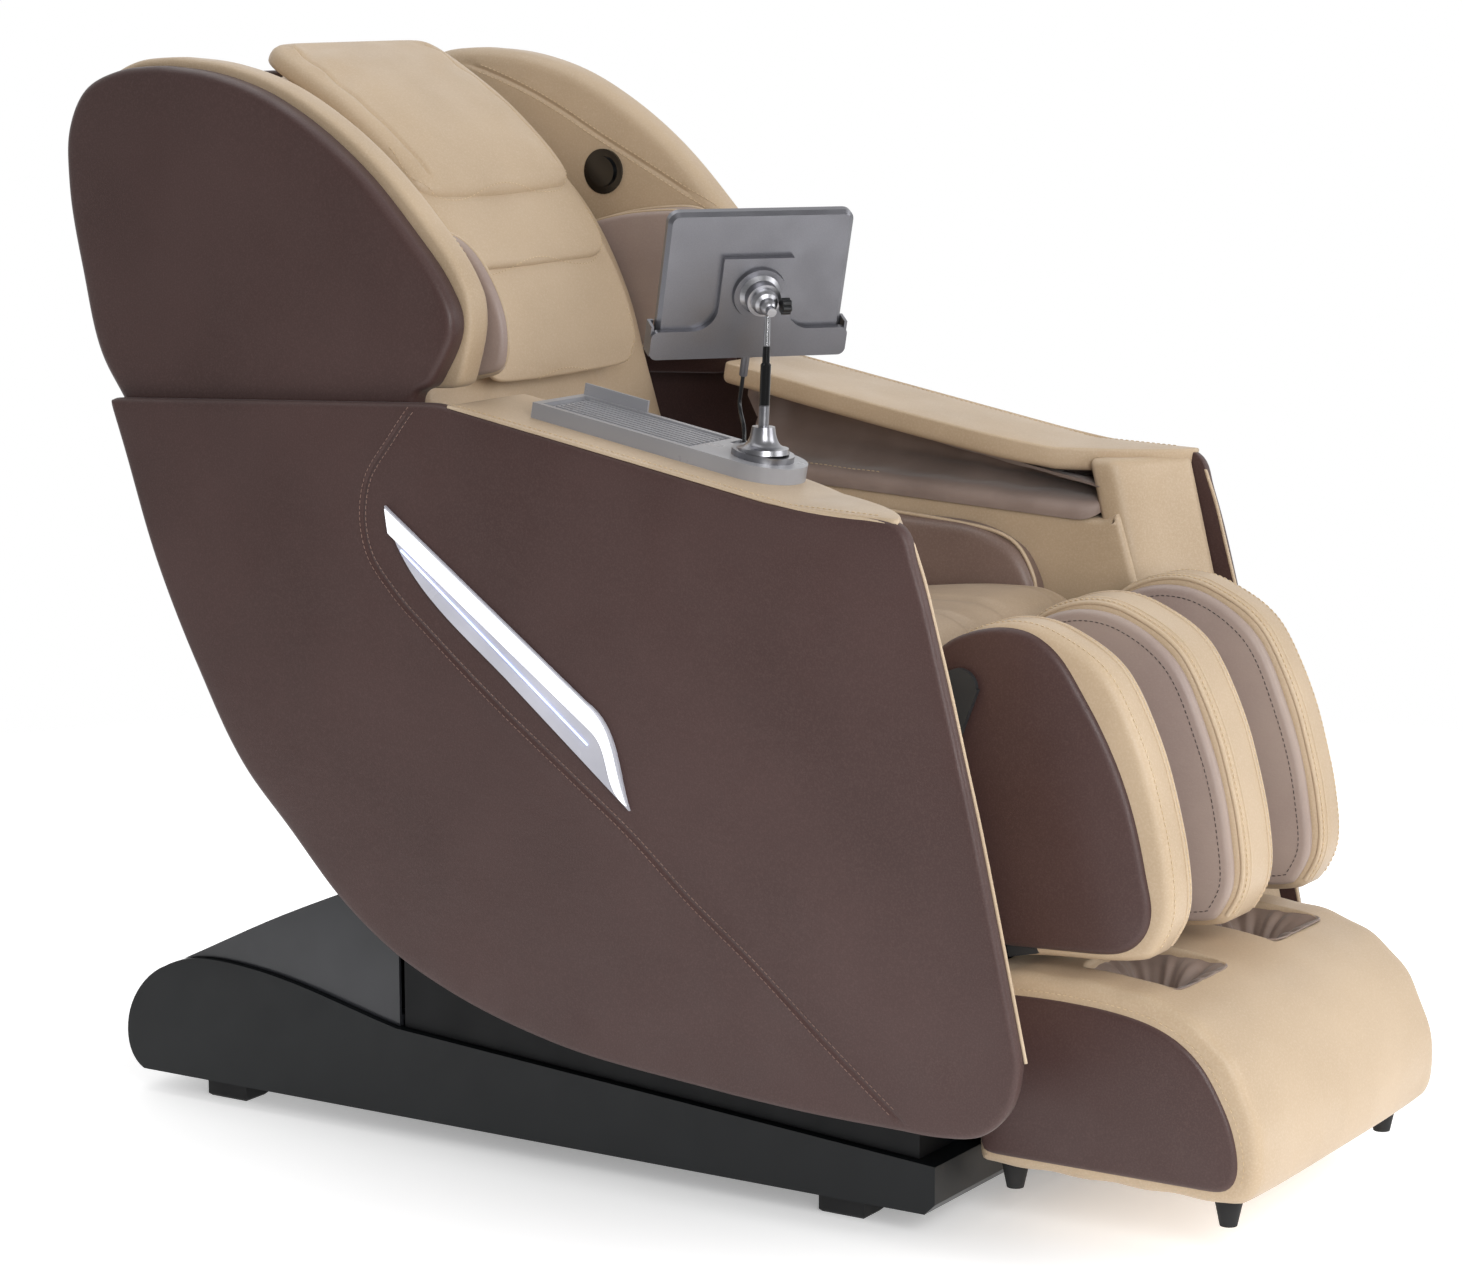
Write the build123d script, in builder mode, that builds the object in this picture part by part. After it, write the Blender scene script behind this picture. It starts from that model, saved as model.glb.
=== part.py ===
# A full-body massage chair: a low base with a sliding carriage, a tilting seat between two
# upholstered side panels, a reclining winged back with a massage carriage, a lifting leg rest
# and a foot rest that slides out below it. Millimetres, +Z up, the sitter faces -Y.
from build123d import *
from math import cos, hypot, radians, sin, sqrt, tan
import os

os.makedirs("parts", exist_ok=True)

# ---------------------------------------------------------------- driving dimensions
SIDES = (("left", 1), ("right", -1))  # the sitter's left is +X

PANEL_OUT = 350  # outer face of a side panel
PANEL_IN = 335  # inner face of a side panel
PIPING_X = 300  # how far the side panel's leather wraps round the armrest's front end
TRIM_OUT = 355  # outer face of the light trim: half the chair's width

BASE_HALF = 300
BASE_REAR = 686
BASE_FRONT = -387
COVER_WALL = 4

SLOPE = 4.0  # degrees: the rails rise to the rear
RAIL_Z = 106.4  # height of the base's top skin above the origin
SLIDE_TRAVEL = 100

TILT_PIVOT = (80, 240)
TILT_RANGE = 20.0
HIP_PIVOT = (215, 470)
RECLINE_RANGE = 33.0
KNEE_PIVOT = (-372, 566)
KNEE_RANGE = 77.0
LEG_LEAN = 12.92  # degrees from upright: the leg rest's own line at rest

ARM_SLOPE = 10.4  # degrees
ARM_LEVEL = 791.9  # height of the armrest's top where y is ARM_MID
ARM_MID = -40
LIP = 26  # thickness of the armrest's top
SEAT_HALF = 236

FIT = 0.05  # radial running clearance
PIN_RADIUS = 5
ROD_RADIUS = 8

RAIL_PLANE = Plane(
    origin=(0, 0, RAIL_Z),
    x_dir=(1, 0, 0),
    z_dir=(0, -sin(radians(SLOPE)), cos(radians(SLOPE))),
)
ARM_PLANE = Plane(
    origin=(0, ARM_MID, ARM_LEVEL),
    x_dir=(1, 0, 0),
    z_dir=(0, -sin(radians(ARM_SLOPE)), cos(radians(ARM_SLOPE))),
)


# ---------------------------------------------------------------- helpers
def save(piece, name):
    """Label a finished piece and write it."""
    piece.part.label = name
    export_step(piece.part, f"parts/{name}.step")


def slab(outline, x_from, x_to, mode=Mode.ADD):
    """Add a closed outline, drawn in Y and Z, between two distances from the middle plane."""
    with BuildSketch(Plane.YZ.offset(x_from)) as flat:
        with BuildLine():
            outline()
        make_face()
    extrude(flat.sketch, amount=x_to - x_from, mode=mode)


def polygon(*points):
    """Return an outline with straight sides."""
    return lambda: Polyline(*points, close=True)


def block(x, y, z, mode=Mode.ADD):
    """Add a box from its (low, high) pairs."""
    with Locations(((x[0] + x[1]) / 2, (y[0] + y[1]) / 2, (z[0] + z[1]) / 2)):
        Box(x[1] - x[0], y[1] - y[0], z[1] - z[0], mode=mode)


def round_bar(centre, radius, x_from, x_to, mode=Mode.ADD):
    """Add a cylinder that lies across the chair, round a (y, z) centre."""
    with BuildSketch(Plane.YZ.offset(x_from)) as flat:
        with Locations(centre):
            Circle(radius)
    extrude(flat.sketch, amount=x_to - x_from, mode=mode)


def prism(plane, x, y, z, mode=Mode.ADD):
    """Add a box from its (low, high) pairs on a tilted plane."""
    with BuildSketch(plane.offset(z[0])) as flat:
        with Locations(((x[0] + x[1]) / 2, (y[0] + y[1]) / 2)):
            Rectangle(x[1] - x[0], y[1] - y[0])
    extrude(flat.sketch, amount=z[1] - z[0], mode=mode)


def bar_along(plane, centre, radius, length, mode=Mode.ADD):
    """Add a cylinder along a plane's normal."""
    with BuildSketch(plane) as flat:
        with Locations(centre):
            Circle(radius)
    extrude(flat.sketch, amount=length, mode=mode)


def mirrored(sign, low, high):
    """Return a (low, high) pair across the chair for one side."""
    return tuple(sorted((sign * low, sign * high)))


def rail_height(y):
    """Height of the base's top skin at y."""
    return RAIL_Z + y * tan(radians(SLOPE))


def arm_top(y):
    """Height of the armrest's top at y."""
    return ARM_LEVEL + (y - ARM_MID) * tan(radians(ARM_SLOPE))


def leg_point(up, out):
    """Turn a place on the leg rest, from the knee pivot up its line and out of it, into (y, z)."""
    lean = radians(LEG_LEAN)
    return (
        KNEE_PIVOT[0] + up * sin(lean) - out * cos(lean),
        KNEE_PIVOT[1] + up * cos(lean) + out * sin(lean),
    )


def swung(point, pivot, angle):
    """Turn a (y, z) point about a pivot, tops going to the rear."""
    a = radians(angle)
    y = point[0] - pivot[0]
    z = point[1] - pivot[1]
    return (pivot[0] + y * cos(a) + z * sin(a), pivot[1] - y * sin(a) + z * cos(a))


def across_rail(x, y, z):
    """Return a plane across the rails at a place on them, its normal up the slope."""
    return Plane(origin=RAIL_PLANE.from_local_coords((x, y, z)), x_dir=(1, 0, 0), z_dir=RAIL_PLANE.y_dir)


def slanted(point, direction, x):
    """Return a plane at a (y, z) point and a distance across the chair, its normal along (y, z)."""
    return Plane(origin=(x, point[0], point[1]), x_dir=(1, 0, 0), z_dir=(0, direction[0], direction[1]))


# ---------------------------------------------------------------- base
TUBE = 40
TUBE_X = 235
TUBE_Z = 33

with BuildPart() as base_frame:
    for side, sign in SIDES:
        block(mirrored(sign, TUBE_X, TUBE_X + TUBE), (-345, 625), (TUBE_Z, TUBE_Z + TUBE))
        block(
            mirrored(sign, TUBE_X + 3, TUBE_X + TUBE - 3),
            (-345, 625),
            (TUBE_Z + 3, TUBE_Z + TUBE - 3),
            Mode.SUBTRACT,
        )
    for rear_edge in (-300, 120, 560):
        block((-TUBE_X, TUBE_X), (rear_edge - TUBE, rear_edge), (TUBE_Z, TUBE_Z + TUBE))
        block(
            (-TUBE_X, TUBE_X),
            (rear_edge - TUBE + 3, rear_edge - 3),
            (TUBE_Z + 3, TUBE_Z + TUBE - 3),
            Mode.SUBTRACT,
        )
save(base_frame, "base_frame")

HUMP_FRONT = 298  # the rear cover starts here, just behind the riser


def base_outline(wall=0):
    """The base from the side, drawn in by a wall: a low wedge that swells at its rear end."""
    low = 27 + wall
    front = BASE_FRONT + wall
    top_front = (front, rail_height(front) - wall)
    top_rear = (HUMP_FRONT, rail_height(HUMP_FRONT) - wall)
    Polyline((663, low), (front + 12, low), (front, low + 12), top_front, top_rear)
    Spline(top_rear, (431, 157 - wall), (532, 170 - wall), (597, 166 - wall), (628 - wall / 2, 154 - wall))
    Spline((628 - wall / 2, 154 - wall), (672 - wall, 116), (BASE_REAR - wall, 76), (680 - wall, 43), (663, low))


with BuildPart() as base_cover:
    slab(base_outline, -BASE_HALF, BASE_HALF)
    slab(lambda: base_outline(COVER_WALL), COVER_WALL - BASE_HALF, BASE_HALF - COVER_WALL, Mode.SUBTRACT)
    block((-BASE_HALF + 12, BASE_HALF - 12), (BASE_FRONT + 20, 650), (20, 32), Mode.SUBTRACT)
    block((118, 172), (660, 700), (60, 94), Mode.SUBTRACT)  # hole for the mains inlet
save(base_cover, "base_cover")


def rear_cover_outline():
    """The dark hood over the base's rear end, which sits on the base cover."""
    Line((HUMP_FRONT, 128), (HUMP_FRONT, 302))
    Spline((HUMP_FRONT, 302), (359, 277), (478, 226), (569, 182), (632, 152))
    Spline((632, 152), (598, 166.6), (532, 170.6), (431, 157.6), (HUMP_FRONT, 128))


with BuildPart() as rear_cover:
    slab(rear_cover_outline, -292, 292)
    block((-288, 288), (290, 294.5), (100, 310), Mode.SUBTRACT)
    slab(polygon((304, 140), (304, 293), (362, 269), (478, 220), (520, 198), (430, 163)), -288, 288,
         Mode.SUBTRACT)
    block((-288, 288), (290, 310), (140, 285), Mode.SUBTRACT)  # open towards the riser
save(rear_cover, "rear_cover")

RAIL_X = 250
with BuildPart() as slide_rails:
    for side, sign in SIDES:
        prism(RAIL_PLANE, mirrored(sign, RAIL_X - 10, RAIL_X + 10), (-300, 290), (0, 18))
save(slide_rails, "slide_rails")

FOOT_PLACES = [(sign * 255, y) for sign in (1, -1) for y in (-262, 560)]
with BuildPart() as base_feet:
    with BuildSketch() as pads:
        with Locations(*FOOT_PLACES):
            Rectangle(40, 56)
    extrude(pads.sketch, amount=TUBE_Z)
    chamfer(base_feet.faces().group_by(Axis.Z)[0].edges(), 3)
save(base_feet, "base_feet")

with BuildPart() as power_supply:
    block((-160, 20), (335, 505), (TUBE_Z, 112))
    with Locations(Plane.XY.offset(112)):
        with GridLocations(22, 0, 6, 1):
            with Locations((-70, 420)):
                Box(6, 120, 3, align=(Align.CENTER, Align.CENTER, Align.MIN))
save(power_supply, "power_supply")

INLET_X = 134
with BuildPart() as power_inlet:
    block((118.3, 171.7), (648, 689), (60.3, 93.7))
    block((114, 176), (686.5, 689), (56, 98))
    block((INLET_X - 12, INLET_X + 12), (668, 690), (68, 86), Mode.SUBTRACT)
    for pin_x, pin_z in ((-7, 76), (7, 76), (0, 80)):
        block((INLET_X + pin_x - 1, INLET_X + pin_x + 1), (667, 684), (pin_z - 2, pin_z + 2))
    block((151, 166), (674, 690), (66, 88), Mode.SUBTRACT)
save(power_inlet, "power_inlet")

SWITCH_PIVOT = (684, 77)
with BuildPart() as power_switch:
    slab(
        polygon((676.5, 68), (690, 67), (687, 77), (690.5, 86.5), (676.5, 86)),
        151.4,
        165.6,
    )
save(power_switch, "power_switch")

SLIDE_MOTOR_X = 120
SLIDE_MOTOR_Z = 15  # above the base's top skin
with BuildPart() as slide_motor:
    bar_along(across_rail(SLIDE_MOTOR_X, -290, SLIDE_MOTOR_Z), (0, 0), 13, 230)
    bar_along(across_rail(SLIDE_MOTOR_X, -285, SLIDE_MOTOR_Z), (0, 0), ROD_RADIUS + FIT, 230, Mode.SUBTRACT)
    prism(RAIL_PLANE, (SLIDE_MOTOR_X + 11, SLIDE_MOTOR_X + 45), (-290, -210), (0, 27))
save(slide_motor, "slide_motor")

# ---------------------------------------------------------------- sliding carriage
PLATE_Z = (30, 34)
SHOE_PLACES = (-130, 190)
TILT_BRACKET_X = (218, 228)

with BuildPart() as carriage:
    prism(RAIL_PLANE, (-283, 283), (-170, 240), PLATE_Z)
    for side, sign in SIDES:
        for shoe_y in SHOE_PLACES:
            prism(RAIL_PLANE, mirrored(sign, RAIL_X - 22, RAIL_X + 22), (shoe_y - 30, shoe_y + 30), (4, 30))
            prism(
                RAIL_PLANE,
                mirrored(sign, RAIL_X - 10 - FIT, RAIL_X + 10 + FIT),
                (shoe_y - 31, shoe_y + 31),
                (4, 18 + FIT),
                Mode.SUBTRACT,
            )
        x_in, x_out = (sign * x for x in TILT_BRACKET_X)
        slab(polygon((20, 140), (140, 147), (101, 253), (59, 253)), x_in, x_out)
        round_bar(TILT_PIVOT, 24, x_in, x_out)
        round_bar(TILT_PIVOT, 12, x_in, x_out, Mode.SUBTRACT)
    prism(RAIL_PLANE, (SLIDE_MOTOR_X - 14, SLIDE_MOTOR_X + 14), (150, 162), (1, 30))
save(carriage, "carriage")

with BuildPart() as slide_motor_rod:
    bar_along(across_rail(SLIDE_MOTOR_X, -155, SLIDE_MOTOR_Z), (0, 0), ROD_RADIUS, 305)
save(slide_motor_rod, "slide_motor_rod")


def riser_outline():
    """The riser's side wall: its foot follows the base's slope and its top hides behind the panels."""
    Polyline(
        (-363, rail_height(-363) + 1),
        (292, rail_height(292) + 1),
        (292, 296),
        (150, 236),
        (-20, 198),
        (-363, 186),
        close=True,
    )


with BuildPart() as riser_cover:
    for side, sign in SIDES:
        slab(riser_outline, sign * 286, sign * 290)
        prism(RAIL_PLANE, mirrored(sign, 283, 287), (-120, 200), PLATE_Z)
    block((-290, 290), (-363, -359), (rail_height(-363) + 1, 186))
save(riser_cover, "riser_cover")

with BuildPart() as tilt_shaft:
    round_bar(TILT_PIVOT, 12, -242, 242)
save(tilt_shaft, "tilt_shaft")


# A lever turned by a motor's rod: the rod's fork has slots, because the lever's pin moves on an arc.
FORK_CHEEK = (6, 14)


def fork(tip, direction, x, pin_play, reach):
    """Add a slotted fork, its slot centred on tip, that points along direction from x's plane."""
    length = hypot(direction[0], direction[1])
    dy, dz = direction[0] / length, direction[1] / length
    across = (-dz, dy)
    slot_half = PIN_RADIUS + pin_play[0]
    slot_long = PIN_RADIUS + pin_play[1]

    def corner(along, up):
        return (tip[0] + dy * along + across[0] * up, tip[1] + dz * along + across[1] * up)

    def box(a, b, c, d):
        return polygon(corner(a, c), corner(b, c), corner(b, d), corner(a, d))

    for side_x in (-FORK_CHEEK[1], FORK_CHEEK[0]):
        low = x + side_x
        high = low + FORK_CHEEK[1] - FORK_CHEEK[0]
        slab(box(-reach, slot_half + 5, -slot_long - 5, slot_long + 5), low, high)
        slab(box(-slot_half, slot_half, -slot_long, slot_long), low, high, Mode.SUBTRACT)
    slab(box(-reach - 10, -reach, -13, 13), x - FORK_CHEEK[1], x + FORK_CHEEK[1])


def rod_behind(tip, direction, x, start, length):
    """Add the fork's rod: it runs back from start, measured behind the tip."""
    size = hypot(direction[0], direction[1])
    dy, dz = direction[0] / size, direction[1] / size
    foot = (tip[0] - dy * start, tip[1] - dz * start)
    bar_along(slanted(foot, (-dy, -dz), x), (0, 0), ROD_RADIUS, length)


def motor_tube(tip, direction, x, mouth, bore, radius):
    """Add a drive's tube, open at its mouth behind the tip, for the rod to slide in."""
    size = hypot(direction[0], direction[1])
    dy, dz = direction[0] / size, direction[1] / size
    foot = (tip[0] - dy * mouth, tip[1] - dz * mouth)
    bar_along(slanted(foot, (-dy, -dz), x), (0, 0), radius, bore + 40)
    bar_along(slanted(foot, (-dy, -dz), x), (0, 0), ROD_RADIUS + FIT, bore, Mode.SUBTRACT)


def lever_rest(pivot, radius, travel, rest_side):
    """Return a lever's pin at rest and the height of the rod's line: the arc is level about it."""
    half = radians(travel / 2)
    pin = (pivot[0] + rest_side * radius * sin(half), pivot[1] - radius * cos(half))
    return pin, pivot[1] - radius * (1 + cos(half)) / 2


# Tilt drive: fixed to the carriage, it pulls the foot of the seat's middle lever forwards.
TILT_LEVER = 80
tilt_pin, tilt_line = lever_rest(TILT_PIVOT, TILT_LEVER, TILT_RANGE, 1)
TILT_TIP = (tilt_pin[0], tilt_line)
BACKWARDS = (1, 0)

with BuildPart() as tilt_motor:
    motor_tube(TILT_TIP, BACKWARDS, 0, 82, 190, 16)
    for foot_y in (-190, -20):
        slab(
            polygon(
                (foot_y, rail_height(foot_y) + 34.2),
                (foot_y + 16, rail_height(foot_y + 16) + 34.2),
                (foot_y + 16, 158),
                (foot_y, 158),
            ),
            -12,
            12,
        )
        bar_along(slanted((foot_y - 1, tilt_line), (1, 0), 0), (0, 0), ROD_RADIUS + FIT, 18, Mode.SUBTRACT)
save(tilt_motor, "tilt_motor")

with BuildPart() as tilt_motor_rod:
    fork(TILT_TIP, BACKWARDS, 0, (0.6, 1.4), 24)
    rod_behind(TILT_TIP, BACKWARDS, 0, 34, 140)
save(tilt_motor_rod, "tilt_motor_rod")

# ---------------------------------------------------------------- tilting seat
SEAT_RAIL_X = (240, 275)
SEAT_RAIL_Z = (395, 430)
PAN_Z = (430, 436)
RECLINE_X = 60
LEG_DRIVE_X = -60

with BuildPart() as seat_frame:
    block((-262, 262), (-300, 170), PAN_Z)
    block((-SEAT_RAIL_X[0], SEAT_RAIL_X[0]), (-326, -290), SEAT_RAIL_Z)
    block((LEG_DRIVE_X - 26, LEG_DRIVE_X + 26), (-330, -288), (390, 430), Mode.SUBTRACT)
    block((-SEAT_RAIL_X[0], SEAT_RAIL_X[0]), (110, 140), (403, 430))
    slab(
        polygon((55, 430), (105, 430), (105, 235), (tilt_pin[0] + 10, tilt_pin[1] - 6),
                (tilt_pin[0] - 10, tilt_pin[1] - 6), (55, 235)),
        -5,
        5,
    )
    round_bar(TILT_PIVOT, 13, -6, 6, Mode.SUBTRACT)
    round_bar(tilt_pin, PIN_RADIUS, -15, 15)
    for side, sign in SIDES:
        rail_in, rail_out = (sign * x for x in SEAT_RAIL_X)
        block(mirrored(sign, *SEAT_RAIL_X), (-300, 240), SEAT_RAIL_Z)
        slab(polygon((60, 425), (100, 425), (100, 240), (60, 240)), sign * 230, sign * 240)
        round_bar(TILT_PIVOT, 22, sign * 230, sign * 240)
        round_bar(TILT_PIVOT, 12 + FIT, sign * 230, sign * 240, Mode.SUBTRACT)
        slab(polygon((190, 425), (240, 425), (240, 470), (190, 470)), sign * 266, rail_out)
        round_bar(HIP_PIVOT, 26, sign * 266, rail_out)
        round_bar(HIP_PIVOT, 10, sign * 256, rail_out)
        slab(polygon((-326, 395), (-302, 395), (-350, 566), (-394, 566)), sign * 227, sign * 233)
        round_bar(KNEE_PIVOT, 20, sign * 227, sign * 233)
        round_bar(KNEE_PIVOT, ROD_RADIUS, sign * 207, sign * 228)
save(seat_frame, "seat_frame")

with BuildPart() as air_pump:
    block((95, 205), (-230, -70), (345, 430))
    for port_y in (-200, -150, -100):
        round_bar((port_y, 365), 6, 80, 96)
save(air_pump, "air_pump")


def cushion_outline():
    """The seat cushion from the side: a rounded knee end and a hollow towards the back."""
    Polyline((165, 436.5), (-252, 436.5), (-298, 500), (-298, 556))
    Spline((-298, 556), (-288, 592), (-252, 607), (-100, 586), (80, 556), (165, 528))
    Line((165, 528), (165, 436.5))


with BuildPart() as seat_cushion:
    slab(cushion_outline, -203, 203)
    block((-SEAT_HALF, SEAT_HALF), (-290, 150), (500, 538))
    block((-SEAT_HALF, SEAT_HALF), (-250, 150), (436.5, 500))
save(seat_cushion, "seat_cushion")


# ---- side panels and armrests
def front_edge(inset):
    """Draw the arm's front end downwards, from its top corner to the round at its foot."""
    Spline(
        (-330 + inset, 748 - inset),
        (-366 + inset, 733 - inset / 2),
        (-386 + inset, 693 - inset / 2),
        (-451 + inset, 458),
        (-508 + inset, 216 + inset / 4),
    )
    Spline(
        (-508 + inset, 216 + inset / 4),
        (-499 + inset, 172 + inset / 2),
        (-462 + inset / 2, 136 + inset),
    )


PANEL_CORNER = (197, arm_top(197) + 1)
PANEL_REAR = (650, 814)
PANEL_NOSE = (-230, arm_top(-230))


def panel_outline():
    """A side panel: a level split line, a rounded front end and a belly that rises to the rear."""
    Line(PANEL_REAR, PANEL_CORNER)
    Line(PANEL_CORNER, PANEL_NOSE)
    Line(PANEL_NOSE, (-330, 748))
    front_edge(0)
    Spline((-462, 136), (-250, 129), (62, 158), (193, 195), (328, 272), (464, 409), (587, 635), (633, 767),
           PANEL_REAR)


WRAP_TOP = 714.5  # the armrest's top covers the panel's wrapped edge above this


def band_outline():
    """The panel's thick edge round the armrest's front end."""
    Polyline((184, arm_top(184)), PANEL_NOSE, (-330, 748))
    front_edge(0)
    Polyline((-462, 136), (-300, 132), (-300, 160), (-440, 170), (-470, 222), (-414, 458), (-352, 690),
             (-326, 716), (-230, arm_top(-230) - LIP), (184, arm_top(184) - LIP), (184, arm_top(184)))


def build_side_panel(side, sign):
    with BuildPart() as panel:
        slab(band_outline, sign * PIPING_X, sign * PANEL_IN)
        slab(polygon((200, WRAP_TOP), (200, 900), (-400, 900), (-400, WRAP_TOP)), sign * (PIPING_X - 1),
             sign * PANEL_IN, Mode.SUBTRACT)
        slab(panel_outline, sign * PANEL_IN, sign * PANEL_OUT)
    save(panel, f"side_panel_{side}")


SLOT_SLOPE = 0.05


def slot_floor(y):
    """Height of the forearm slot's floor at y."""
    return 692.5 + SLOT_SLOPE * y


LIP_INNER = 205


def lip_plan():
    """Draw what is cut from the armrest's top in plan: its inner edge swings out at the front."""
    Spline((LIP_INNER - 3, -150), (222, -230), (250, -290), (283, -352))
    Polyline((283, -352), (283, -400), (LIP_INNER - 40, -400), (LIP_INNER - 40, -150), (LIP_INNER - 3, -150))


def build_armrest(side, sign):
    edge = sign * (PIPING_X - 0.5)
    with BuildPart() as armrest:
        # upholstered block below the forearm slot
        slab(polygon((150, 436.5), (150, slot_floor(150)), (-300, slot_floor(-300)), (-300, 436.5)),
             sign * 276, sign * 334.5)
        slab(polygon((150, 436.5), (150, slot_floor(150)), (-300, slot_floor(-300)), (-300, 436.5)),
             sign * 238, sign * 276)
        # front end, inside the panel's wrapped edge
        slab(
            polygon((-300, 205), (-300, slot_floor(-300)), (-356, slot_floor(-356)), (-438, 400), (-486, 205)),
            sign * 240.5,
            edge,
        )
        # back wall of the slot
        slab(
            polygon((150, 600), (184, 600), (184, arm_top(184) - LIP - 0.5),
                    (-300, arm_top(-300) - LIP - 0.5), (-300, 600)),
            sign * 320,
            sign * 334.5,
        )
        # top, cut to its plan
        slab(
            polygon((184, arm_top(184)), (-230, arm_top(-230)), (-330, 748), (-350, 741), (-363, 731),
                    (-372, WRAP_TOP + 0.7), (-345, WRAP_TOP + 0.7), (-230, arm_top(-230) - LIP),
                    (184, arm_top(184) - LIP)),
            sign * LIP_INNER,
            sign * (PANEL_IN - 0.5),
        )
        slab(
            polygon((184, arm_top(184) - LIP), (-300, arm_top(-300) - LIP),
                    (-300, arm_top(-300) - LIP - 14), (184, arm_top(184) - LIP - 14)),
            sign * 286,
            sign * 321,
        )
        # the top comes down to the block in front of the slot
        slab(
            polygon((-322, slot_floor(-322)), (-322, 722), (-340, 716), (-355, slot_floor(-355))),
            sign * 262,
            edge,
        )
        with BuildSketch(Plane.XY.offset(700)) as plan:
            with BuildLine():
                lip_plan()
            make_face()
            if sign < 0:
                mirror(about=Plane.YZ, mode=Mode.REPLACE)
        extrude(plan.sketch, amount=100, mode=Mode.SUBTRACT)
    save(armrest, f"armrest_{side}")


for side_name, side_sign in SIDES:
    build_side_panel(side_name, side_sign)
    build_armrest(side_name, side_sign)

with BuildPart() as side_airbags:
    for side, sign in SIDES:
        # forearm cells above and below the slot
        slab(
            polygon((140, slot_floor(140) + 0.4), (140, slot_floor(140) + 9), (-290, slot_floor(-290) + 9),
                    (-290, slot_floor(-290) + 0.4)),
            sign * 242,
            sign * 318,
        )
        slab(
            polygon((178, arm_top(178) - LIP - 0.4), (178, arm_top(178) - LIP - 9),
                    (-290, arm_top(-290) - LIP - 9), (-290, arm_top(-290) - LIP - 0.4)),
            sign * 232,
            sign * 285,
        )
        # hip cell beside the seat
        slab(
            polygon((120, 540), (120, 676), (-60, 668), (-200, 655), (-236, 600), (-226, 545)),
            sign * 206,
            sign * 237.5,
        )
save(side_airbags, "side_airbags")


# ---- light trim on each side panel
def trim_outline():
    """The light trim: a long blade that bends down at its front end."""
    Line((263, 721), (5, 533))
    Spline((5, 533), (-26, 500), (-38, 462), (-49, 423))
    Line((-49, 423), (106, 548))
    Spline((106, 548), (200, 622), (240, 668), (263, 721))


def lamp_outline():
    """The trim's lit band, along its upper edge."""
    Line((262, 718), (5, 531))
    Spline((5, 531), (-22, 500), (-34, 462), (-46, 428))
    Spline((-46, 428), (-25, 455), (-17, 482), (-2, 503))
    Line((-2, 503), (258, 692))
    Line((258, 692), (262, 718))


with BuildPart() as light_trims:
    for side, sign in SIDES:
        slab(trim_outline, sign * (PANEL_OUT + 0.2), sign * (TRIM_OUT - 1.5))
        slab(lamp_outline, sign * (PANEL_OUT + 2), sign * TRIM_OUT, Mode.SUBTRACT)
save(light_trims, "light_trims")

with BuildPart() as light_diffusers:
    for side, sign in SIDES:
        slab(lamp_outline, sign * (PANEL_OUT + 2), sign * TRIM_OUT)
save(light_diffusers, "light_diffusers")

# ---- control tray with the tablet's stand, on the sitter's right
TRAY_X = (-302, -206)
TRAY_HEIGHT = 18
STAND_X = -254
STAND_Y = -109  # on the armrest's plane

with BuildPart() as control_tray:
    with BuildSketch(ARM_PLANE.offset(0.3)) as plan:
        with BuildLine():
            Polyline((TRAY_X[0], STAND_Y), (TRAY_X[0], 150), (TRAY_X[1], 150), (TRAY_X[1], STAND_Y))
            ThreePointArc((TRAY_X[1], STAND_Y), (STAND_X, STAND_Y - 48), (TRAY_X[0], STAND_Y))
        make_face()
    extrude(plan.sketch, amount=TRAY_HEIGHT)
    prism(ARM_PLANE, (TRAY_X[0] + 7, TRAY_X[1] - 7), (-45, 142), (14, 20), Mode.SUBTRACT)
    for rib in range(9):
        rib_x = TRAY_X[0] + 13 + rib * 9
        prism(ARM_PLANE, (rib_x - 1.5, rib_x + 1.5), (-38, 134), (14, 16.5))
    prism(ARM_PLANE, (TRAY_X[1] - 3, TRAY_X[1]), (66, 148), (TRAY_HEIGHT, 31))
    prism(ARM_PLANE, (TRAY_X[1] - 26, TRAY_X[1] - 4), (-78, -54), (6, 20), Mode.SUBTRACT)
save(control_tray, "control_tray")

STAND_FOOT = ARM_PLANE.from_local_coords((STAND_X, STAND_Y, TRAY_HEIGHT + 0.3))
HEAD_JOINT = (-254, -157, 946)
STAND_LINE = Vector(*HEAD_JOINT) - STAND_FOOT
STAND_PLANE = Plane(origin=STAND_FOOT, x_dir=(1, 0, 0), z_dir=STAND_LINE.normalized())
STAND_LENGTH = STAND_LINE.length
POLE_GAP = 9.4

with BuildPart() as tablet_stand:
    with BuildSketch(Plane(STAND_PLANE.origin, x_dir=STAND_PLANE.x_dir, z_dir=-STAND_PLANE.y_dir)) as half:
        with BuildLine():
            Polyline((0, 4.5), (28, 4.5), (27, 10))
            Spline((27, 10), (17, 15), (13, 26), (12, 32))
            Polyline((12, 32), (5.5, 32), (5.5, STAND_LENGTH - 60), (4, STAND_LENGTH - 58),
                     (3, STAND_LENGTH - POLE_GAP), (0, STAND_LENGTH - POLE_GAP), (0, 4.5))
        make_face()
    revolve(half.sketch, axis=Axis(STAND_FOOT, STAND_LINE))
    bar_along(ARM_PLANE.offset(TRAY_HEIGHT + 0.3), (STAND_X, STAND_Y), 33, 6.5)
save(tablet_stand, "tablet_stand")

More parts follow.
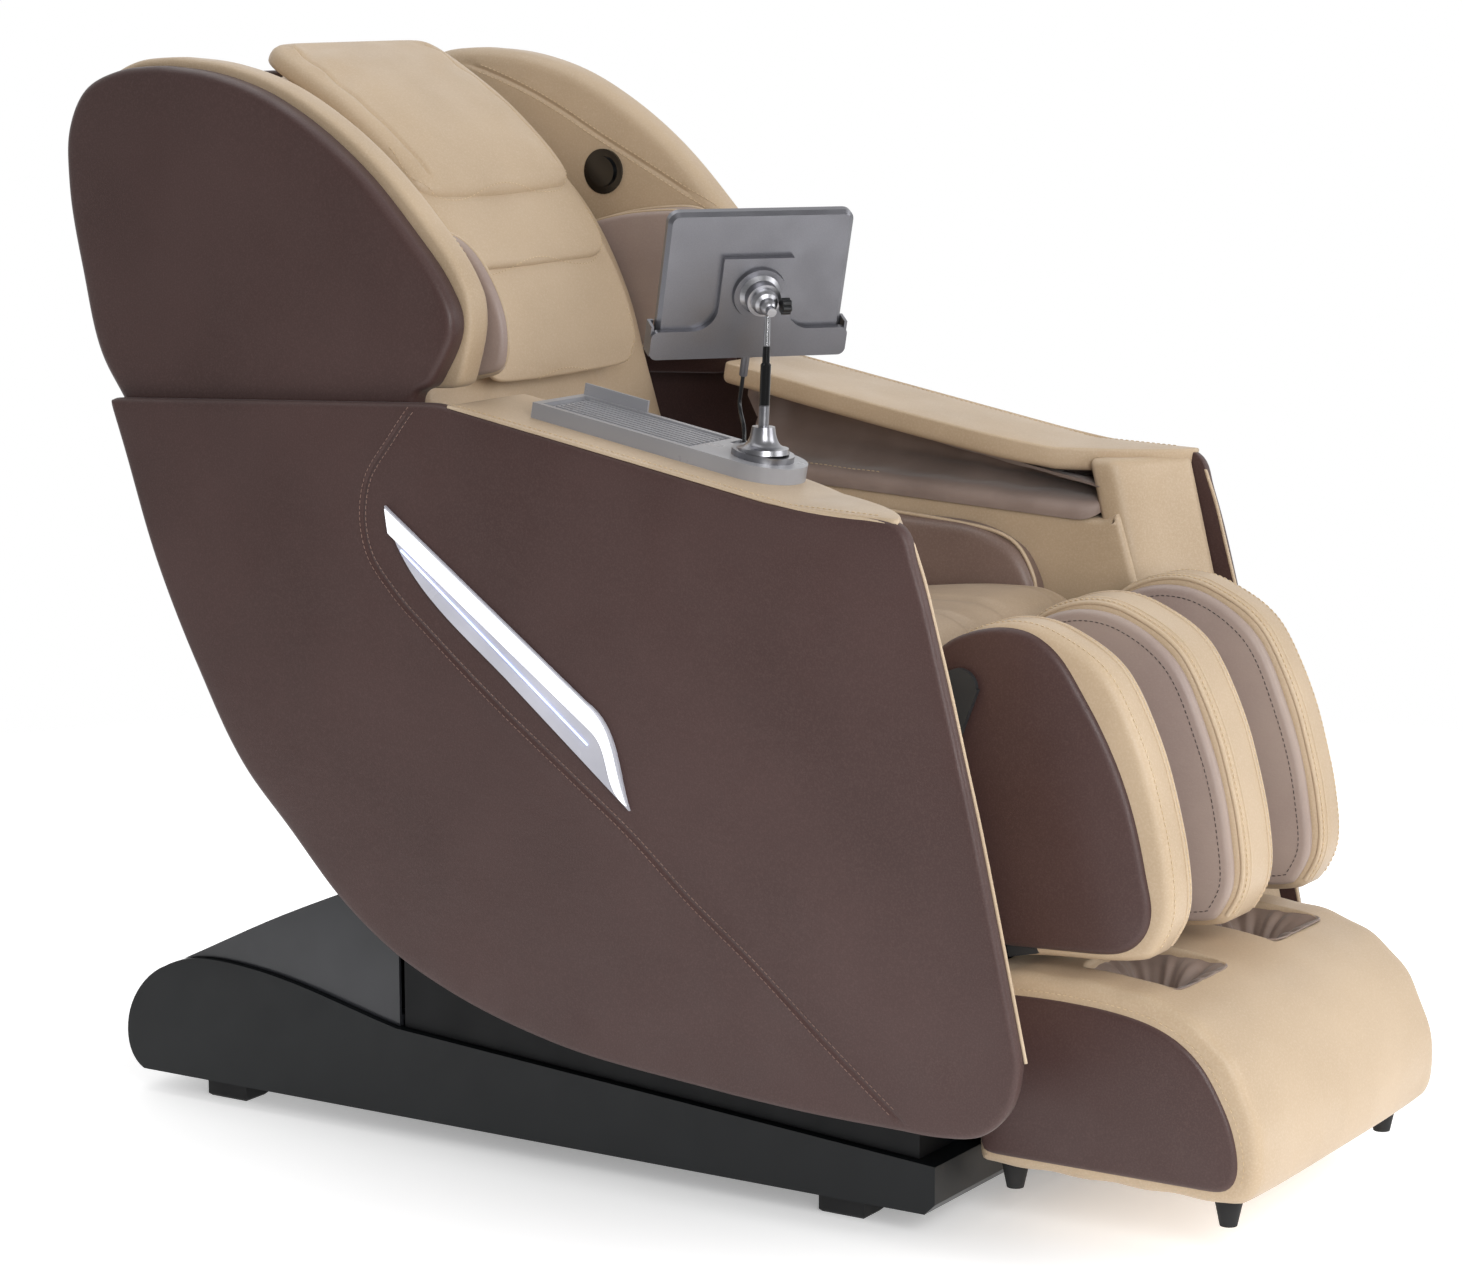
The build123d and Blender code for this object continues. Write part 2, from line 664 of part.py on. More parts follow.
TABLET_TURN = radians(-40)
TABLET_LEAN = radians(22)
TABLET_SIZE = (200, 160, 12)
TABLET_CENTRE = (-235, -129, 967)
tablet_wide = Vector(cos(TABLET_TURN), sin(TABLET_TURN), 0)
tablet_back = Vector(sin(TABLET_TURN) * cos(TABLET_LEAN), -cos(TABLET_TURN) * cos(TABLET_LEAN),
                     -sin(TABLET_LEAN))
TABLET_PLANE = Plane(origin=TABLET_CENTRE, x_dir=tablet_wide, z_dir=tablet_back)
head_spot = TABLET_PLANE.to_local_coords(Vector(*HEAD_JOINT))

HOLDER_BACK = 6.7  # outer face of the holder's plate, behind the tablet's back
DISH_DEPTH = 5


def about_head(plane_x, reach):
    """Return a plane through the head's joint whose x runs from the tablet's back outwards."""
    return Plane(HEAD_JOINT, x_dir=plane_x, z_dir=reach)


BALL = 9
STEM = 5
with BuildPart() as tilt_head:
    dish_face = HOLDER_BACK + DISH_DEPTH - head_spot.Z
    with BuildSketch(about_head(tablet_back, tablet_wide)) as half:
        with BuildLine():
            Polyline((14, 0), (14, STEM), (sqrt(BALL**2 - STEM**2), STEM))
            ThreePointArc((sqrt(BALL**2 - STEM**2), STEM), (3, sqrt(BALL**2 - 3**2)),
                          (-3, sqrt(BALL**2 - 3**2)))
            Polyline((-3, sqrt(BALL**2 - 3**2)), (-5, 12), (-9, 14), (-13, 14), (-13, 18),
                     (dish_face + 4, 18), (dish_face, 22), (dish_face, 0), (14, 0))
        make_face()
    revolve(half.sketch, axis=Axis(HEAD_JOINT, tablet_back))
save(tilt_head, "tilt_head")

with BuildPart() as clamp_knob:
    with BuildSketch(about_head(tablet_back, tablet_wide).offset(14.3)) as grip:
        with PolarLocations(5.5, 6):
            Circle(3.2)
        Circle(6.5)
    extrude(grip.sketch, amount=9)
save(clamp_knob, "clamp_knob")

HOLDER_LOW = -82
HOLDER_TOP = 32
HOLDER_HALF = 107
BAND_TOP = -50
COLUMN_HALF = 38
with BuildPart() as tablet_holder:
    with BuildSketch(TABLET_PLANE.offset(0.2)) as plate:
        with BuildLine():
            Polyline(
                (-HOLDER_HALF, HOLDER_LOW),
                (HOLDER_HALF, HOLDER_LOW),
                (HOLDER_HALF, BAND_TOP),
                (COLUMN_HALF, BAND_TOP),
                (COLUMN_HALF, HOLDER_TOP),
                (-COLUMN_HALF, HOLDER_TOP),
                (-COLUMN_HALF, BAND_TOP),
                (-HOLDER_HALF, BAND_TOP),
                close=True,
            )
        make_face()
        fillet([v for v in plate.vertices() if abs(TABLET_PLANE.to_local_coords(v).Y - BAND_TOP) < 1
                and abs(TABLET_PLANE.to_local_coords(v).X) < COLUMN_HALF + 1], 26)
        fillet([v for v in plate.vertices() if abs(TABLET_PLANE.to_local_coords(v).X) > HOLDER_HALF - 1], 8)
    extrude(plate.sketch, amount=HOLDER_BACK - 0.2)
    with BuildSketch(TABLET_PLANE.offset(-15)) as shelf:
        with Locations((0, HOLDER_LOW + 1.4)):
            Rectangle(150, 2.8)
    extrude(shelf.sketch, amount=19)
    for grip_x in (-HOLDER_HALF + 1.5, HOLDER_HALF - 1.5):
        with BuildSketch(TABLET_PLANE.offset(-15)) as grips:
            with Locations((grip_x, -62)):
                Rectangle(3, 34)
            with Locations((grip_x - 1.7 * (1 if grip_x > 0 else -1), -62)):
                Rectangle(6.4, 34)
        extrude(grips.sketch, amount=2.6)
        with BuildSketch(TABLET_PLANE.offset(-15)) as walls:
            with Locations((grip_x, -62)):
                Rectangle(3, 34)
        extrude(walls.sketch, amount=18)
    with BuildSketch(TABLET_PLANE.offset(HOLDER_BACK)) as dish:
        with Locations((head_spot.X, head_spot.Y)):
            Circle(29)
    extrude(dish.sketch, amount=DISH_DEPTH, taper=12)
    with Locations(TABLET_PLANE):
        with Locations((0, HOLDER_LOW - 11, 2)):
            Cylinder(4.5, 24, rotation=(90, 0, 0))
save(tablet_holder, "tablet_holder")

with BuildPart() as tablet:
    with BuildSketch(TABLET_PLANE) as face:
        with Locations((0, 1)):
            RectangleRounded(TABLET_SIZE[0], TABLET_SIZE[1], 12)
    extrude(face.sketch, amount=-TABLET_SIZE[2])
    chamfer(tablet.faces().sort_by(Axis((0, 0, 0), tablet_back))[-1].edges(), 4)
    chamfer(tablet.faces().sort_by(Axis((0, 0, 0), tablet_back))[0].edges(), 1)
save(tablet, "tablet")

# ---- the tablet's lead: from its strain relief down into the tray
LEAD_RADIUS = 2.2
lead_top = TABLET_PLANE.from_local_coords((0, HOLDER_LOW - 23, 2))
lead_foot = ARM_PLANE.from_local_coords((TRAY_X[1] - 15, -66, 6))
LEAD_ROUTE = [
    lead_top,
    TABLET_PLANE.from_local_coords((0, HOLDER_LOW - 39, 2)),
    lead_top + Vector(12, 13, -35),
    ARM_PLANE.from_local_coords((TRAY_X[1] - 15, -66, 29)),
    lead_foot,
]


def cord_radii(route):
    """Return the largest arc that each corner's two runs allow, and print them."""
    radii = []
    for before, here, after in zip(route, route[1:], route[2:]):
        arriving = here - before
        leaving = after - here
        turn = arriving.get_angle(leaving)
        radii.append(0.45 * min(arriving.length, leaving.length) / tan(radians(turn / 2)))
    print("lead: corner radii", [round(r, 1) for r in radii])
    return radii


with BuildPart() as tablet_lead:
    with BuildLine() as lead_line:
        FilletPolyline(*LEAD_ROUTE, radius=cord_radii(LEAD_ROUTE))
    lead_path = lead_line.wires()[0]
    with BuildSketch(Plane(lead_top, z_dir=lead_path % 0)) as section:
        Circle(LEAD_RADIUS)
    sweep(section.sketch, path=lead_path)
    tube = section.sketch.area * lead_path.length
    print("lead: length", round(lead_path.length, 1), "volume ratio", round(tablet_lead.part.volume / tube, 4))
save(tablet_lead, "tablet_lead")

# ---- recline drive, hung under the seat pan
RECLINE_LEVER = 90
recline_pin, recline_line = lever_rest(HIP_PIVOT, RECLINE_LEVER, RECLINE_RANGE, 1)
RECLINE_TIP = (recline_pin[0], recline_line)

with BuildPart() as recline_motor:
    motor_tube(RECLINE_TIP, BACKWARDS, RECLINE_X, 106, 170, 15)
    for hanger_y in (-60, 60):
        block((RECLINE_X - 10, RECLINE_X + 10), (hanger_y, hanger_y + 18), (392, 430))
save(recline_motor, "recline_motor")

with BuildPart() as recline_motor_rod:
    fork(RECLINE_TIP, BACKWARDS, RECLINE_X, (0.6, 2.4), 24)
    rod_behind(RECLINE_TIP, BACKWARDS, RECLINE_X, 34, 140)
save(recline_motor_rod, "recline_motor_rod")

# ---- leg rest drive: its line is the chord that the leg rest's lug swings through
LUG_PLACE = (-130, -50)
leg_pin = leg_point(*LUG_PLACE)
leg_pin_up = swung(leg_pin, KNEE_PIVOT, KNEE_RANGE)
chord = (leg_pin_up[0] - leg_pin[0], leg_pin_up[1] - leg_pin[1])
chord_length = hypot(*chord)
LEG_LINE = (chord[0] / chord_length, chord[1] / chord_length)
LUG_RADIUS = hypot(leg_pin[0] - KNEE_PIVOT[0], leg_pin[1] - KNEE_PIVOT[1])
leg_sagitta = LUG_RADIUS * (1 - cos(radians(KNEE_RANGE / 2)))
outwards = (LEG_LINE[1], -LEG_LINE[0])  # across the chord, away from the knee pivot
if outwards[0] > 0:
    outwards = (-outwards[0], -outwards[1])
LEG_TIP = (leg_pin[0] + outwards[0] * leg_sagitta / 2, leg_pin[1] + outwards[1] * leg_sagitta / 2)
print("leg drive: stroke", round(chord_length, 1), "pin", leg_pin, "line", LEG_LINE, "tip", LEG_TIP)

with BuildPart() as leg_motor:
    motor_tube(LEG_TIP, LEG_LINE, LEG_DRIVE_X, 62, 196, 18)
    slab(polygon((-200, 280), (-170, 270), (-170, 430), (-200, 430)), LEG_DRIVE_X - 6, LEG_DRIVE_X + 6)
    bar_along(slanted((LEG_TIP[0] - LEG_LINE[0] * 62, LEG_TIP[1] - LEG_LINE[1] * 62),
                      (-LEG_LINE[0], -LEG_LINE[1]), LEG_DRIVE_X), (0, 0), ROD_RADIUS + FIT, 196,
              Mode.SUBTRACT)
save(leg_motor, "leg_motor")

with BuildPart() as leg_motor_rod:
    fork(LEG_TIP, LEG_LINE, LEG_DRIVE_X, (3.2, leg_sagitta / 2 + 1), 26)
    rod_behind(LEG_TIP, LEG_LINE, LEG_DRIVE_X, 36, 215)
save(leg_motor_rod, "leg_motor_rod")

# ---------------------------------------------------------------- reclining back
TRACK_LEAN = 28.5  # the straight line that the massage carriage runs on
TRACK_FOOT = (262, 600)  # where the rollers' front line starts, behind the back pad
TRACK_REST = 170  # the massage carriage's place up that line
ROLLER_RADIUS = 30


def track_point(up, out):
    """Turn a place on the massage track, up its line and out towards the sitter, into (y, z)."""
    lean = radians(TRACK_LEAN)
    return (
        TRACK_FOOT[0] + up * sin(lean) - out * cos(lean),
        TRACK_FOOT[1] + up * cos(lean) + out * sin(lean),
    )


def track_box(up, out):
    """Return a rectangle's outline on the track from its (low, high) pairs."""
    return polygon(*(track_point(*place) for place in (
        (up[0], out[0]), (up[1], out[0]), (up[1], out[1]), (up[0], out[1]))))


TRACK_X = (176, 206)
GUIDE_DEPTH = (-96, -66)

with BuildPart() as back_frame:
    for side, sign in SIDES:
        slab(track_box((-10, 560), GUIDE_DEPTH), sign * TRACK_X[0], sign * TRACK_X[1])
        slab(track_box((-5, 555), (GUIDE_DEPTH[0] + 5, GUIDE_DEPTH[1] - 5)), sign * TRACK_X[0],
             sign * (TRACK_X[0] + 18), Mode.SUBTRACT)
        slab(polygon((190, 455), (240, 450), (392, 600), (352, 640), (300, 600), (196, 490)), sign * 256,
             sign * 264)
        round_bar(HIP_PIVOT, 25, sign * 256, sign * 264)
        round_bar(HIP_PIVOT, 10 + FIT, sign * 255, sign * 265, Mode.SUBTRACT)
        slab(track_box((0, 40), GUIDE_DEPTH), sign * TRACK_X[1], sign * 258)
        slab(track_box((240, 540), GUIDE_DEPTH), sign * TRACK_X[1], sign * 261)
    slab(track_box((530, 560), GUIDE_DEPTH), -TRACK_X[0], TRACK_X[0])
    slab(track_box((-40, -10), GUIDE_DEPTH), -258, 258)
    slab(
        polygon((recline_pin[0] - 12, recline_pin[1] - 10), (recline_pin[0] + 12, recline_pin[1] - 10),
                (262, 430), track_point(-40, -96), track_point(-40, -66), (232, 450)),
        RECLINE_X - 5,
        RECLINE_X + 5,
    )
    round_bar(recline_pin, PIN_RADIUS, RECLINE_X - 15, RECLINE_X + 15)
save(back_frame, "back_frame")


def back_pad_outline():
    """The back pad from the side: it leans back at the head and hangs steeper at the waist."""
    Spline((196, 578), (256, 700), (296, 815), (325, 908), (375, 998), (470, 1090), (592, 1168))
    Line((592, 1168), (612, 1142))
    Line((612, 1142), track_point(530, 2))
    Line(track_point(530, 2), track_point(-22, 2))
    Line(track_point(-22, 2), (196, 578))


with BuildPart() as back_pad:
    slab(back_pad_outline, -226, 226)
save(back_pad, "back_pad")


def wing_outline():
    """A wing from the side: a skirt behind the panel, a steep front corner and a long rounded top."""
    Polyline((217, 845), (240, 845), (242, 806), (630, 790), (652, 820))
    Spline((652, 820), (672, 858), (702, 954), (717.5, 1054), (694, 1152), (641, 1176), (584, 1182))
    Spline((584, 1182), (445, 1156), (312, 1074), (208, 964), (187, 926), (217, 845))


def lining_outline():
    """The wing's lining from the side: it stands a finger's width proud of the shell."""
    Line((197, 845), (640, 820))
    Spline((640, 820), (662, 862), (692, 954), (706, 1054), (686, 1152), (640, 1184), (584, 1192))
    Spline((584, 1192), (440, 1166), (302, 1083), (196, 970), (179, 926), (197, 845))


def build_wing_shell(side, sign):
    with BuildPart() as shell:
        slab(wing_outline, sign * 306, sign * 333)
    save(shell, f"wing_shell_{side}")


for side_name, side_sign in SIDES:
    build_wing_shell(side_name, side_sign)

with BuildPart() as wing_linings:
    for side, sign in SIDES:
        slab(lining_outline, sign * 265, sign * 305.5)
save(wing_linings, "wing_linings")

with BuildPart() as shoulder_airbags:
    for side, sign in SIDES:
        slab(polygon((232, 858), (330, 850), (420, 986), (322, 1020), (240, 960), (222, 930)), sign * 232,
             sign * 264.5)
save(shoulder_airbags, "shoulder_airbags")

SPEAKER_PLACE = (388, 1046)
with BuildPart() as speakers:
    for side, sign in SIDES:
        round_bar(SPEAKER_PLACE, 27, sign * 256, sign * 264.7)
        round_bar(SPEAKER_PLACE, 18, sign * 252, sign * 257)
save(speakers, "speakers")


def back_cover_outline():
    """The back's rear shell from the side: bulged outside, straight along the massage track."""
    Spline((352, 506), (394, 548), (480, 664), (572, 800), (648, 905), (686, 990), (692, 1070), (668, 1136),
           (622, 1172))
    Line((622, 1172), (596, 1172))
    Line((596, 1172), (616, 1148))
    Spline((616, 1148), (646, 1090), track_point(520, -118), track_point(400, -118))
    Line(track_point(400, -118), track_point(-30, -118))
    Line(track_point(-30, -118), (352, 506))


def back_hollow_outline():
    """The space inside the rear shell, open towards the massage track."""
    Line(track_point(-5, -124), track_point(480, -114))
    Line(track_point(480, -114), (640, 1070))
    Spline((640, 1070), (687, 1040), (681, 990), (643, 908), (567, 803), (476, 668), (400, 562),
           track_point(-5, -124))


with BuildPart() as back_cover:
    slab(back_cover_outline, -254, 254)
    slab(back_hollow_outline, -250, 250, Mode.SUBTRACT)
    slab(polygon(track_point(0, -110), track_point(500, -110), track_point(500, -130), track_point(0, -130)),
         -250, 250, Mode.SUBTRACT)
save(back_cover, "back_cover")

# ---- head pillow, hinged along its top hem
PILLOW_HINGE = (601, 1188)


def pillow_outline():
    """The pillow and its hanging flap from the side."""
    Spline((604, 1186), (596, 1199), (570, 1203), (530, 1186), (440, 1118), (352, 1040), (312, 985),
           (282, 925), (268, 860), (266, 828))
    Line((266, 828), (274, 827))
    Spline((274, 827), (280, 868), (294, 910), (326, 968), (369, 1024), (462, 1110), (590, 1186))
    Line((590, 1186), (604, 1186))


with BuildPart() as head_pillow:
    slab(pillow_outline, -158, 158)
save(head_pillow, "head_pillow")

# ---- massage carriage and its two arms
ARM_PIVOT = track_point(TRACK_REST, -76)

with BuildPart() as massage_carriage:
    slab(track_box((TRACK_REST - 70, TRACK_REST + 70), (-110, -88)), -160, 160)
    for side, sign in SIDES:
        slab(track_box((TRACK_REST - 60, TRACK_REST + 60), (-90.9, -71.1)), sign * 158,
             sign * (TRACK_X[0] + 17.5))
        slab(track_box((TRACK_REST - 60, TRACK_REST + 60), (-90, -71.1)), sign * 130, sign * 160)
    for cheek_x in (-118, -44, 36, 110):
        slab(track_box((TRACK_REST - 22, TRACK_REST + 22), (-92, -58)), cheek_x, cheek_x + 8)
    round_bar(ARM_PIVOT, 7, -120, 120)
    slab(track_box((TRACK_REST - 30, TRACK_REST + 34), (-90, -50)), -26, 26)
save(massage_carriage, "massage_carriage")

ROLLER_UP = 44


def build_massage_arm(side, sign):
    axle = track_point(TRACK_REST + ROLLER_UP, -ROLLER_RADIUS - 10)
    with BuildPart() as arm:
        slab(
            polygon(track_point(TRACK_REST - 12, -84), track_point(TRACK_REST - 12, -66),
                    track_point(TRACK_REST + ROLLER_UP - 8, -31),
                    track_point(TRACK_REST + ROLLER_UP + 10, -31),
                    track_point(TRACK_REST + ROLLER_UP + 10, -50), track_point(TRACK_REST + 14, -82)),
            sign * 60,
            sign * 74,
        )
        round_bar(ARM_PIVOT, 11, sign * 50, sign * 100)
        round_bar(ARM_PIVOT, 7 + FIT, sign * 49, sign * 101, Mode.SUBTRACT)
        round_bar(axle, 6, sign * 60, sign * 112)
    save(arm, f"massage_arm_{side}")


def build_massage_roller(side, sign):
    axle = track_point(TRACK_REST + ROLLER_UP, -ROLLER_RADIUS - 10)
    with BuildPart() as roller:
        with BuildSketch(Plane(origin=(0, axle[0], axle[1]), x_dir=(1, 0, 0), z_dir=(0, -1, 0))) as half:
            with BuildLine():
                Polyline((sign * 78, 6 + FIT), (sign * 78, 22))
                Spline((sign * 78, 22), (sign * 84, 28), (sign * 93, ROLLER_RADIUS), (sign * 102, 28),
                       (sign * 108, 22))
                Polyline((sign * 108, 22), (sign * 108, 6 + FIT), (sign * 78, 6 + FIT))
            make_face()
        revolve(half.sketch, axis=Axis((0, axle[0], axle[1]), (1, 0, 0)))
    save(roller, f"massage_roller_{side}")


for side_name, side_sign in SIDES:
    build_massage_arm(side_name, side_sign)
    build_massage_roller(side_name, side_sign)

# ---------------------------------------------------------------- leg rest
LEG_TOP = -45
LEG_FOOT = -283
GUIDE_X = 120
GUIDE_OUT = 3


def leg_box(up, out):
    """Return a rectangle's outline on the leg rest from its (low, high) pairs."""
    return polygon(*(leg_point(*place) for place in (
        (up[0], out[0]), (up[1], out[0]), (up[1], out[1]), (up[0], out[1]))))


LEG_DOWN = (-sin(radians(LEG_LEAN)), -cos(radians(LEG_LEAN)))

with BuildPart() as leg_frame:
    slab(leg_box((LEG_FOOT, LEG_TOP), (-12.6, -9.6)), -213, 213)
    for side, sign in SIDES:
        slab(leg_box((LEG_FOOT, 18), (-12.6, 22)), sign * 207, sign * 213)
        round_bar(KNEE_PIVOT, 22, sign * 207, sign * 213)
        round_bar(KNEE_PIVOT, ROD_RADIUS + FIT, sign * 206, sign * 214, Mode.SUBTRACT)
        bar_along(slanted(leg_point(-60, GUIDE_OUT), LEG_DOWN, sign * GUIDE_X), (0, 0), 13, 222)
        bar_along(slanted(leg_point(-64, GUIDE_OUT), LEG_DOWN, sign * GUIDE_X), (0, 0), ROD_RADIUS + FIT,
                  222, Mode.SUBTRACT)
    lug_up, lug_out = LUG_PLACE
    slab(
        polygon(leg_point(lug_up - 34, -10), leg_point(lug_up - 10, lug_out - 8),
                leg_point(lug_up + 10, lug_out - 8), leg_point(lug_up + 34, -10)),
        LEG_DRIVE_X - 5,
        LEG_DRIVE_X + 5,
    )
    round_bar(leg_pin, PIN_RADIUS, LEG_DRIVE_X - 15, LEG_DRIVE_X + 15)
save(leg_frame, "leg_frame")

WELL_X = (38, 158)
CROWN_X = 206.5


def leg_wall_outline():
    """A wall of the leg rest from the side: crowned at the knee and full at the shin."""
    Line(leg_point(LEG_FOOT, -8), leg_point(-40, -8))
    Line(leg_point(-40, -8), (-326, 574))
    Spline((-326, 574), (-355, 616), (-421, 636), (-487, 621), (-530, 590), (-573, 507), (-600, 410),
           (-602, 345), (-577, 304))
    Line((-577, 304), leg_point(LEG_FOOT, -8))


with BuildPart() as leg_trough:
    for x_in, x_out in ((-WELL_X[0], WELL_X[0]), (WELL_X[1], CROWN_X), (-CROWN_X, -WELL_X[1])):
        slab(leg_wall_outline, x_in, x_out)
    for side, sign in SIDES:
        slab(leg_box((LEG_FOOT, 14), (27, 57)), sign * WELL_X[0], sign * WELL_X[1])
save(leg_trough, "leg_trough")

with BuildPart() as calf_airbags:
    for side, sign in SIDES:
        for x_in, x_out in ((WELL_X[0] + 0.3, WELL_X[0] + 12), (WELL_X[1] - 12, WELL_X[1] - 0.3)):
            slab(
                polygon(leg_point(-268, 58), leg_point(20, 58), leg_point(28, 96), leg_point(-60, 158),
                        leg_point(-190, 172), leg_point(-262, 150)),
                sign * x_in,
                sign * x_out,
            )
save(calf_airbags, "calf_airbags")


def leg_cover_outline():
    """The leather cover on the leg rest's outer side."""
    Spline((-352, 592), (-378, 622), (-415, 632), (-460, 622), (-506, 566), (-553, 479), (-582, 390),
           (-588, 340), (-574, 318), (-540, 306))
    Line((-540, 306), (-425, 301))
    Line((-425, 301), (-352, 592))


with BuildPart() as leg_covers:
    for side, sign in SIDES:
        slab(leg_cover_outline, sign * 213.3, sign * 225)
        round_bar(KNEE_PIVOT, ROD_RADIUS + 1, sign * 213, sign * 226, Mode.SUBTRACT)
save(leg_covers, "leg_covers")

# ---------------------------------------------------------------- sliding foot rest
FOOT_HALF = 229
FOOT_SOLE_Z = 66
ROLLER_LINE = (-585, 112)
FOOT_WELL_X = (50, 186)


def foot_outline():
    """The foot rest from the side: a flat sole, a round toe end and a level top."""
    Polyline((-695, FOOT_SOLE_Z), (-395, FOOT_SOLE_Z), (-395, 277), (-494, 280))
    Spline((-494, 280), (-595, 271), (-661, 239), (-698, 192), (-716, 134), (-716, 90), (-695, FOOT_SOLE_Z))


with BuildPart() as footrest_body:
    slab(foot_outline, -FOOT_HALF, FOOT_HALF)
    for side, sign in SIDES:
        well = mirrored(sign, *FOOT_WELL_X)
        block(well, (-690, -470), (82, 190), Mode.SUBTRACT)
        block(well, (-655, -470), (185, 222), Mode.SUBTRACT)
        block(well, (-605, -470), (200, 300), Mode.SUBTRACT)
        bar_along(slanted(leg_point(-270, GUIDE_OUT), LEG_DOWN, sign * GUIDE_X), (0, 0), ROD_RADIUS, 80,
                  Mode.SUBTRACT)
    round_bar(ROLLER_LINE, 8 + FIT, -205, 205, Mode.SUBTRACT)
save(footrest_body, "footrest_body")


def foot_cover_outline():
    """The leather cover on the foot rest's side, inside a border of the lighter leather."""
    Line((-399, 78), (-399, 254))
    Spline((-399, 254), (-500, 257), (-592, 246), (-648, 216), (-678, 180), (-696, 130), (-698, 92),
           (-684, 78))
    Line((-684, 78), (-399, 78))


with BuildPart() as footrest_covers:
    for side, sign in SIDES:
        slab(foot_cover_outline, sign * (FOOT_HALF + 0.3), sign * 237)
save(footrest_covers, "footrest_covers")

with BuildPart() as foot_slide_rods:
    for side, sign in SIDES:
        bar_along(slanted(leg_point(-80, GUIDE_OUT), LEG_DOWN, sign * GUIDE_X), (0, 0), ROD_RADIUS, 269)
save(foot_slide_rods, "foot_slide_rods")

with BuildPart() as sole_rollers:
    round_bar(ROLLER_LINE, 8, -204, 204)
    for side, sign in SIDES:
        round_bar(ROLLER_LINE, 15, sign * 58, sign * 178)
        for ring in range(4):
            ring_x = sign * (64 + ring * 29)
            round_bar(ROLLER_LINE, 24, ring_x, ring_x + sign * 20)
save(sole_rollers, "sole_rollers")

with BuildPart() as foot_airbags:
    for side, sign in SIDES:
        block(mirrored(sign, 53, 183), (-484, -470.3), (150, 268))
        block(mirrored(sign, 53, 183), (-604.7, -594), (205, 258))
        block(mirrored(sign, 174, 185.7), (-592, -486), (150, 268))
save(foot_airbags, "foot_airbags")

with BuildPart() as footrest_feet:
    with BuildSketch(Plane.XY.offset(FOOT_SOLE_Z)) as pads:
        with Locations(*[(sign * 196, y) for sign in (1, -1) for y in (-668, -425)]):
            Circle(15)
    extrude(pads.sketch, amount=-28, taper=12)
save(footrest_feet, "footrest_feet")
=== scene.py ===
import math

import bpy
import bmesh
import numpy as np
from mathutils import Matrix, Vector
from mathutils.bvhtree import BVHTree
from mathutils.geometry import delaunay_2d_cdt


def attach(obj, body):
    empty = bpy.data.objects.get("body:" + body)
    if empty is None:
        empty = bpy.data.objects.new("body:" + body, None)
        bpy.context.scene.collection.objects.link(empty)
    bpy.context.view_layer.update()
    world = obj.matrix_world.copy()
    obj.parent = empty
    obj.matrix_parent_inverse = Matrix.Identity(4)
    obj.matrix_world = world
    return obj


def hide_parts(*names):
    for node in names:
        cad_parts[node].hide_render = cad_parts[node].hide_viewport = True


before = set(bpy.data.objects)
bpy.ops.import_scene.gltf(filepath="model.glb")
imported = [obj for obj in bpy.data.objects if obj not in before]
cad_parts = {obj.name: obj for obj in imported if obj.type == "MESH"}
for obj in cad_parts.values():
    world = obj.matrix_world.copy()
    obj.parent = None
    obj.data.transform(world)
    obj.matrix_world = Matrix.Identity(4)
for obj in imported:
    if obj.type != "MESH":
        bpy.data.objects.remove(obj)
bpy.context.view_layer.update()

# %% [markdown]
# # A massage chair
# The frame already holds every hard part of the chair. This file dresses it: leather
# over foam on the panels, wings, armrests, seat, leg rest and foot rest, then seams,
# stitches and piping, then a finish for every plastic and metal part.
# Everything is in metres, the sitter looks along -Y, and the sitter's left is +X.

# %% [markdown]
# ## Camera and light
# The chair stands in a studio that is white behind it and dim behind the camera. The
# camera is far away and a little above the armrests, so the upright edges stay nearly
# parallel. A soft light near the front end makes the side panel fall off to the rear,
# and a second one from the front lifts the leather on the leg rest.

# %% Camera and light
scene = bpy.context.scene
camera = bpy.data.objects.new("camera", bpy.data.cameras.new("camera"))
camera.data.lens = 98.4
camera.data.sensor_width = 36.0
camera.location = (-3.751, -2.298, 1.300)
camera.rotation_euler = (math.radians(90 - 9.7), 0.0, math.radians(-58))
scene.collection.objects.link(camera)
scene.camera = camera


def soft_light(name, place, aim, size, power, tint=(1, 1, 1)):
    """Hang a square soft box at a place, facing a point."""
    data = bpy.data.lights.new(name, "AREA")
    data.shape = "RECTANGLE"
    data.size, data.size_y = size
    data.energy = power
    data.color = tint
    lamp = bpy.data.objects.new(name, data)
    lamp.location = place
    lamp.rotation_euler = (Vector(aim) - Vector(place)).to_track_quat("-Z", "Y").to_euler()
    scene.collection.objects.link(lamp)
    return lamp


soft_light("key_light", (-2.1, -2.3, 1.5), (0, -0.1, 0.5), (1.5, 1.7), 56)
soft_light("front_light", (0.9, -3.4, 1.7), (0, -0.4, 0.4), (2.2, 1.8), 46)
soft_light("top_light", (-0.3, 0.9, 3.2), (0, 0.1, 0.8), (2.4, 2.0), 20)

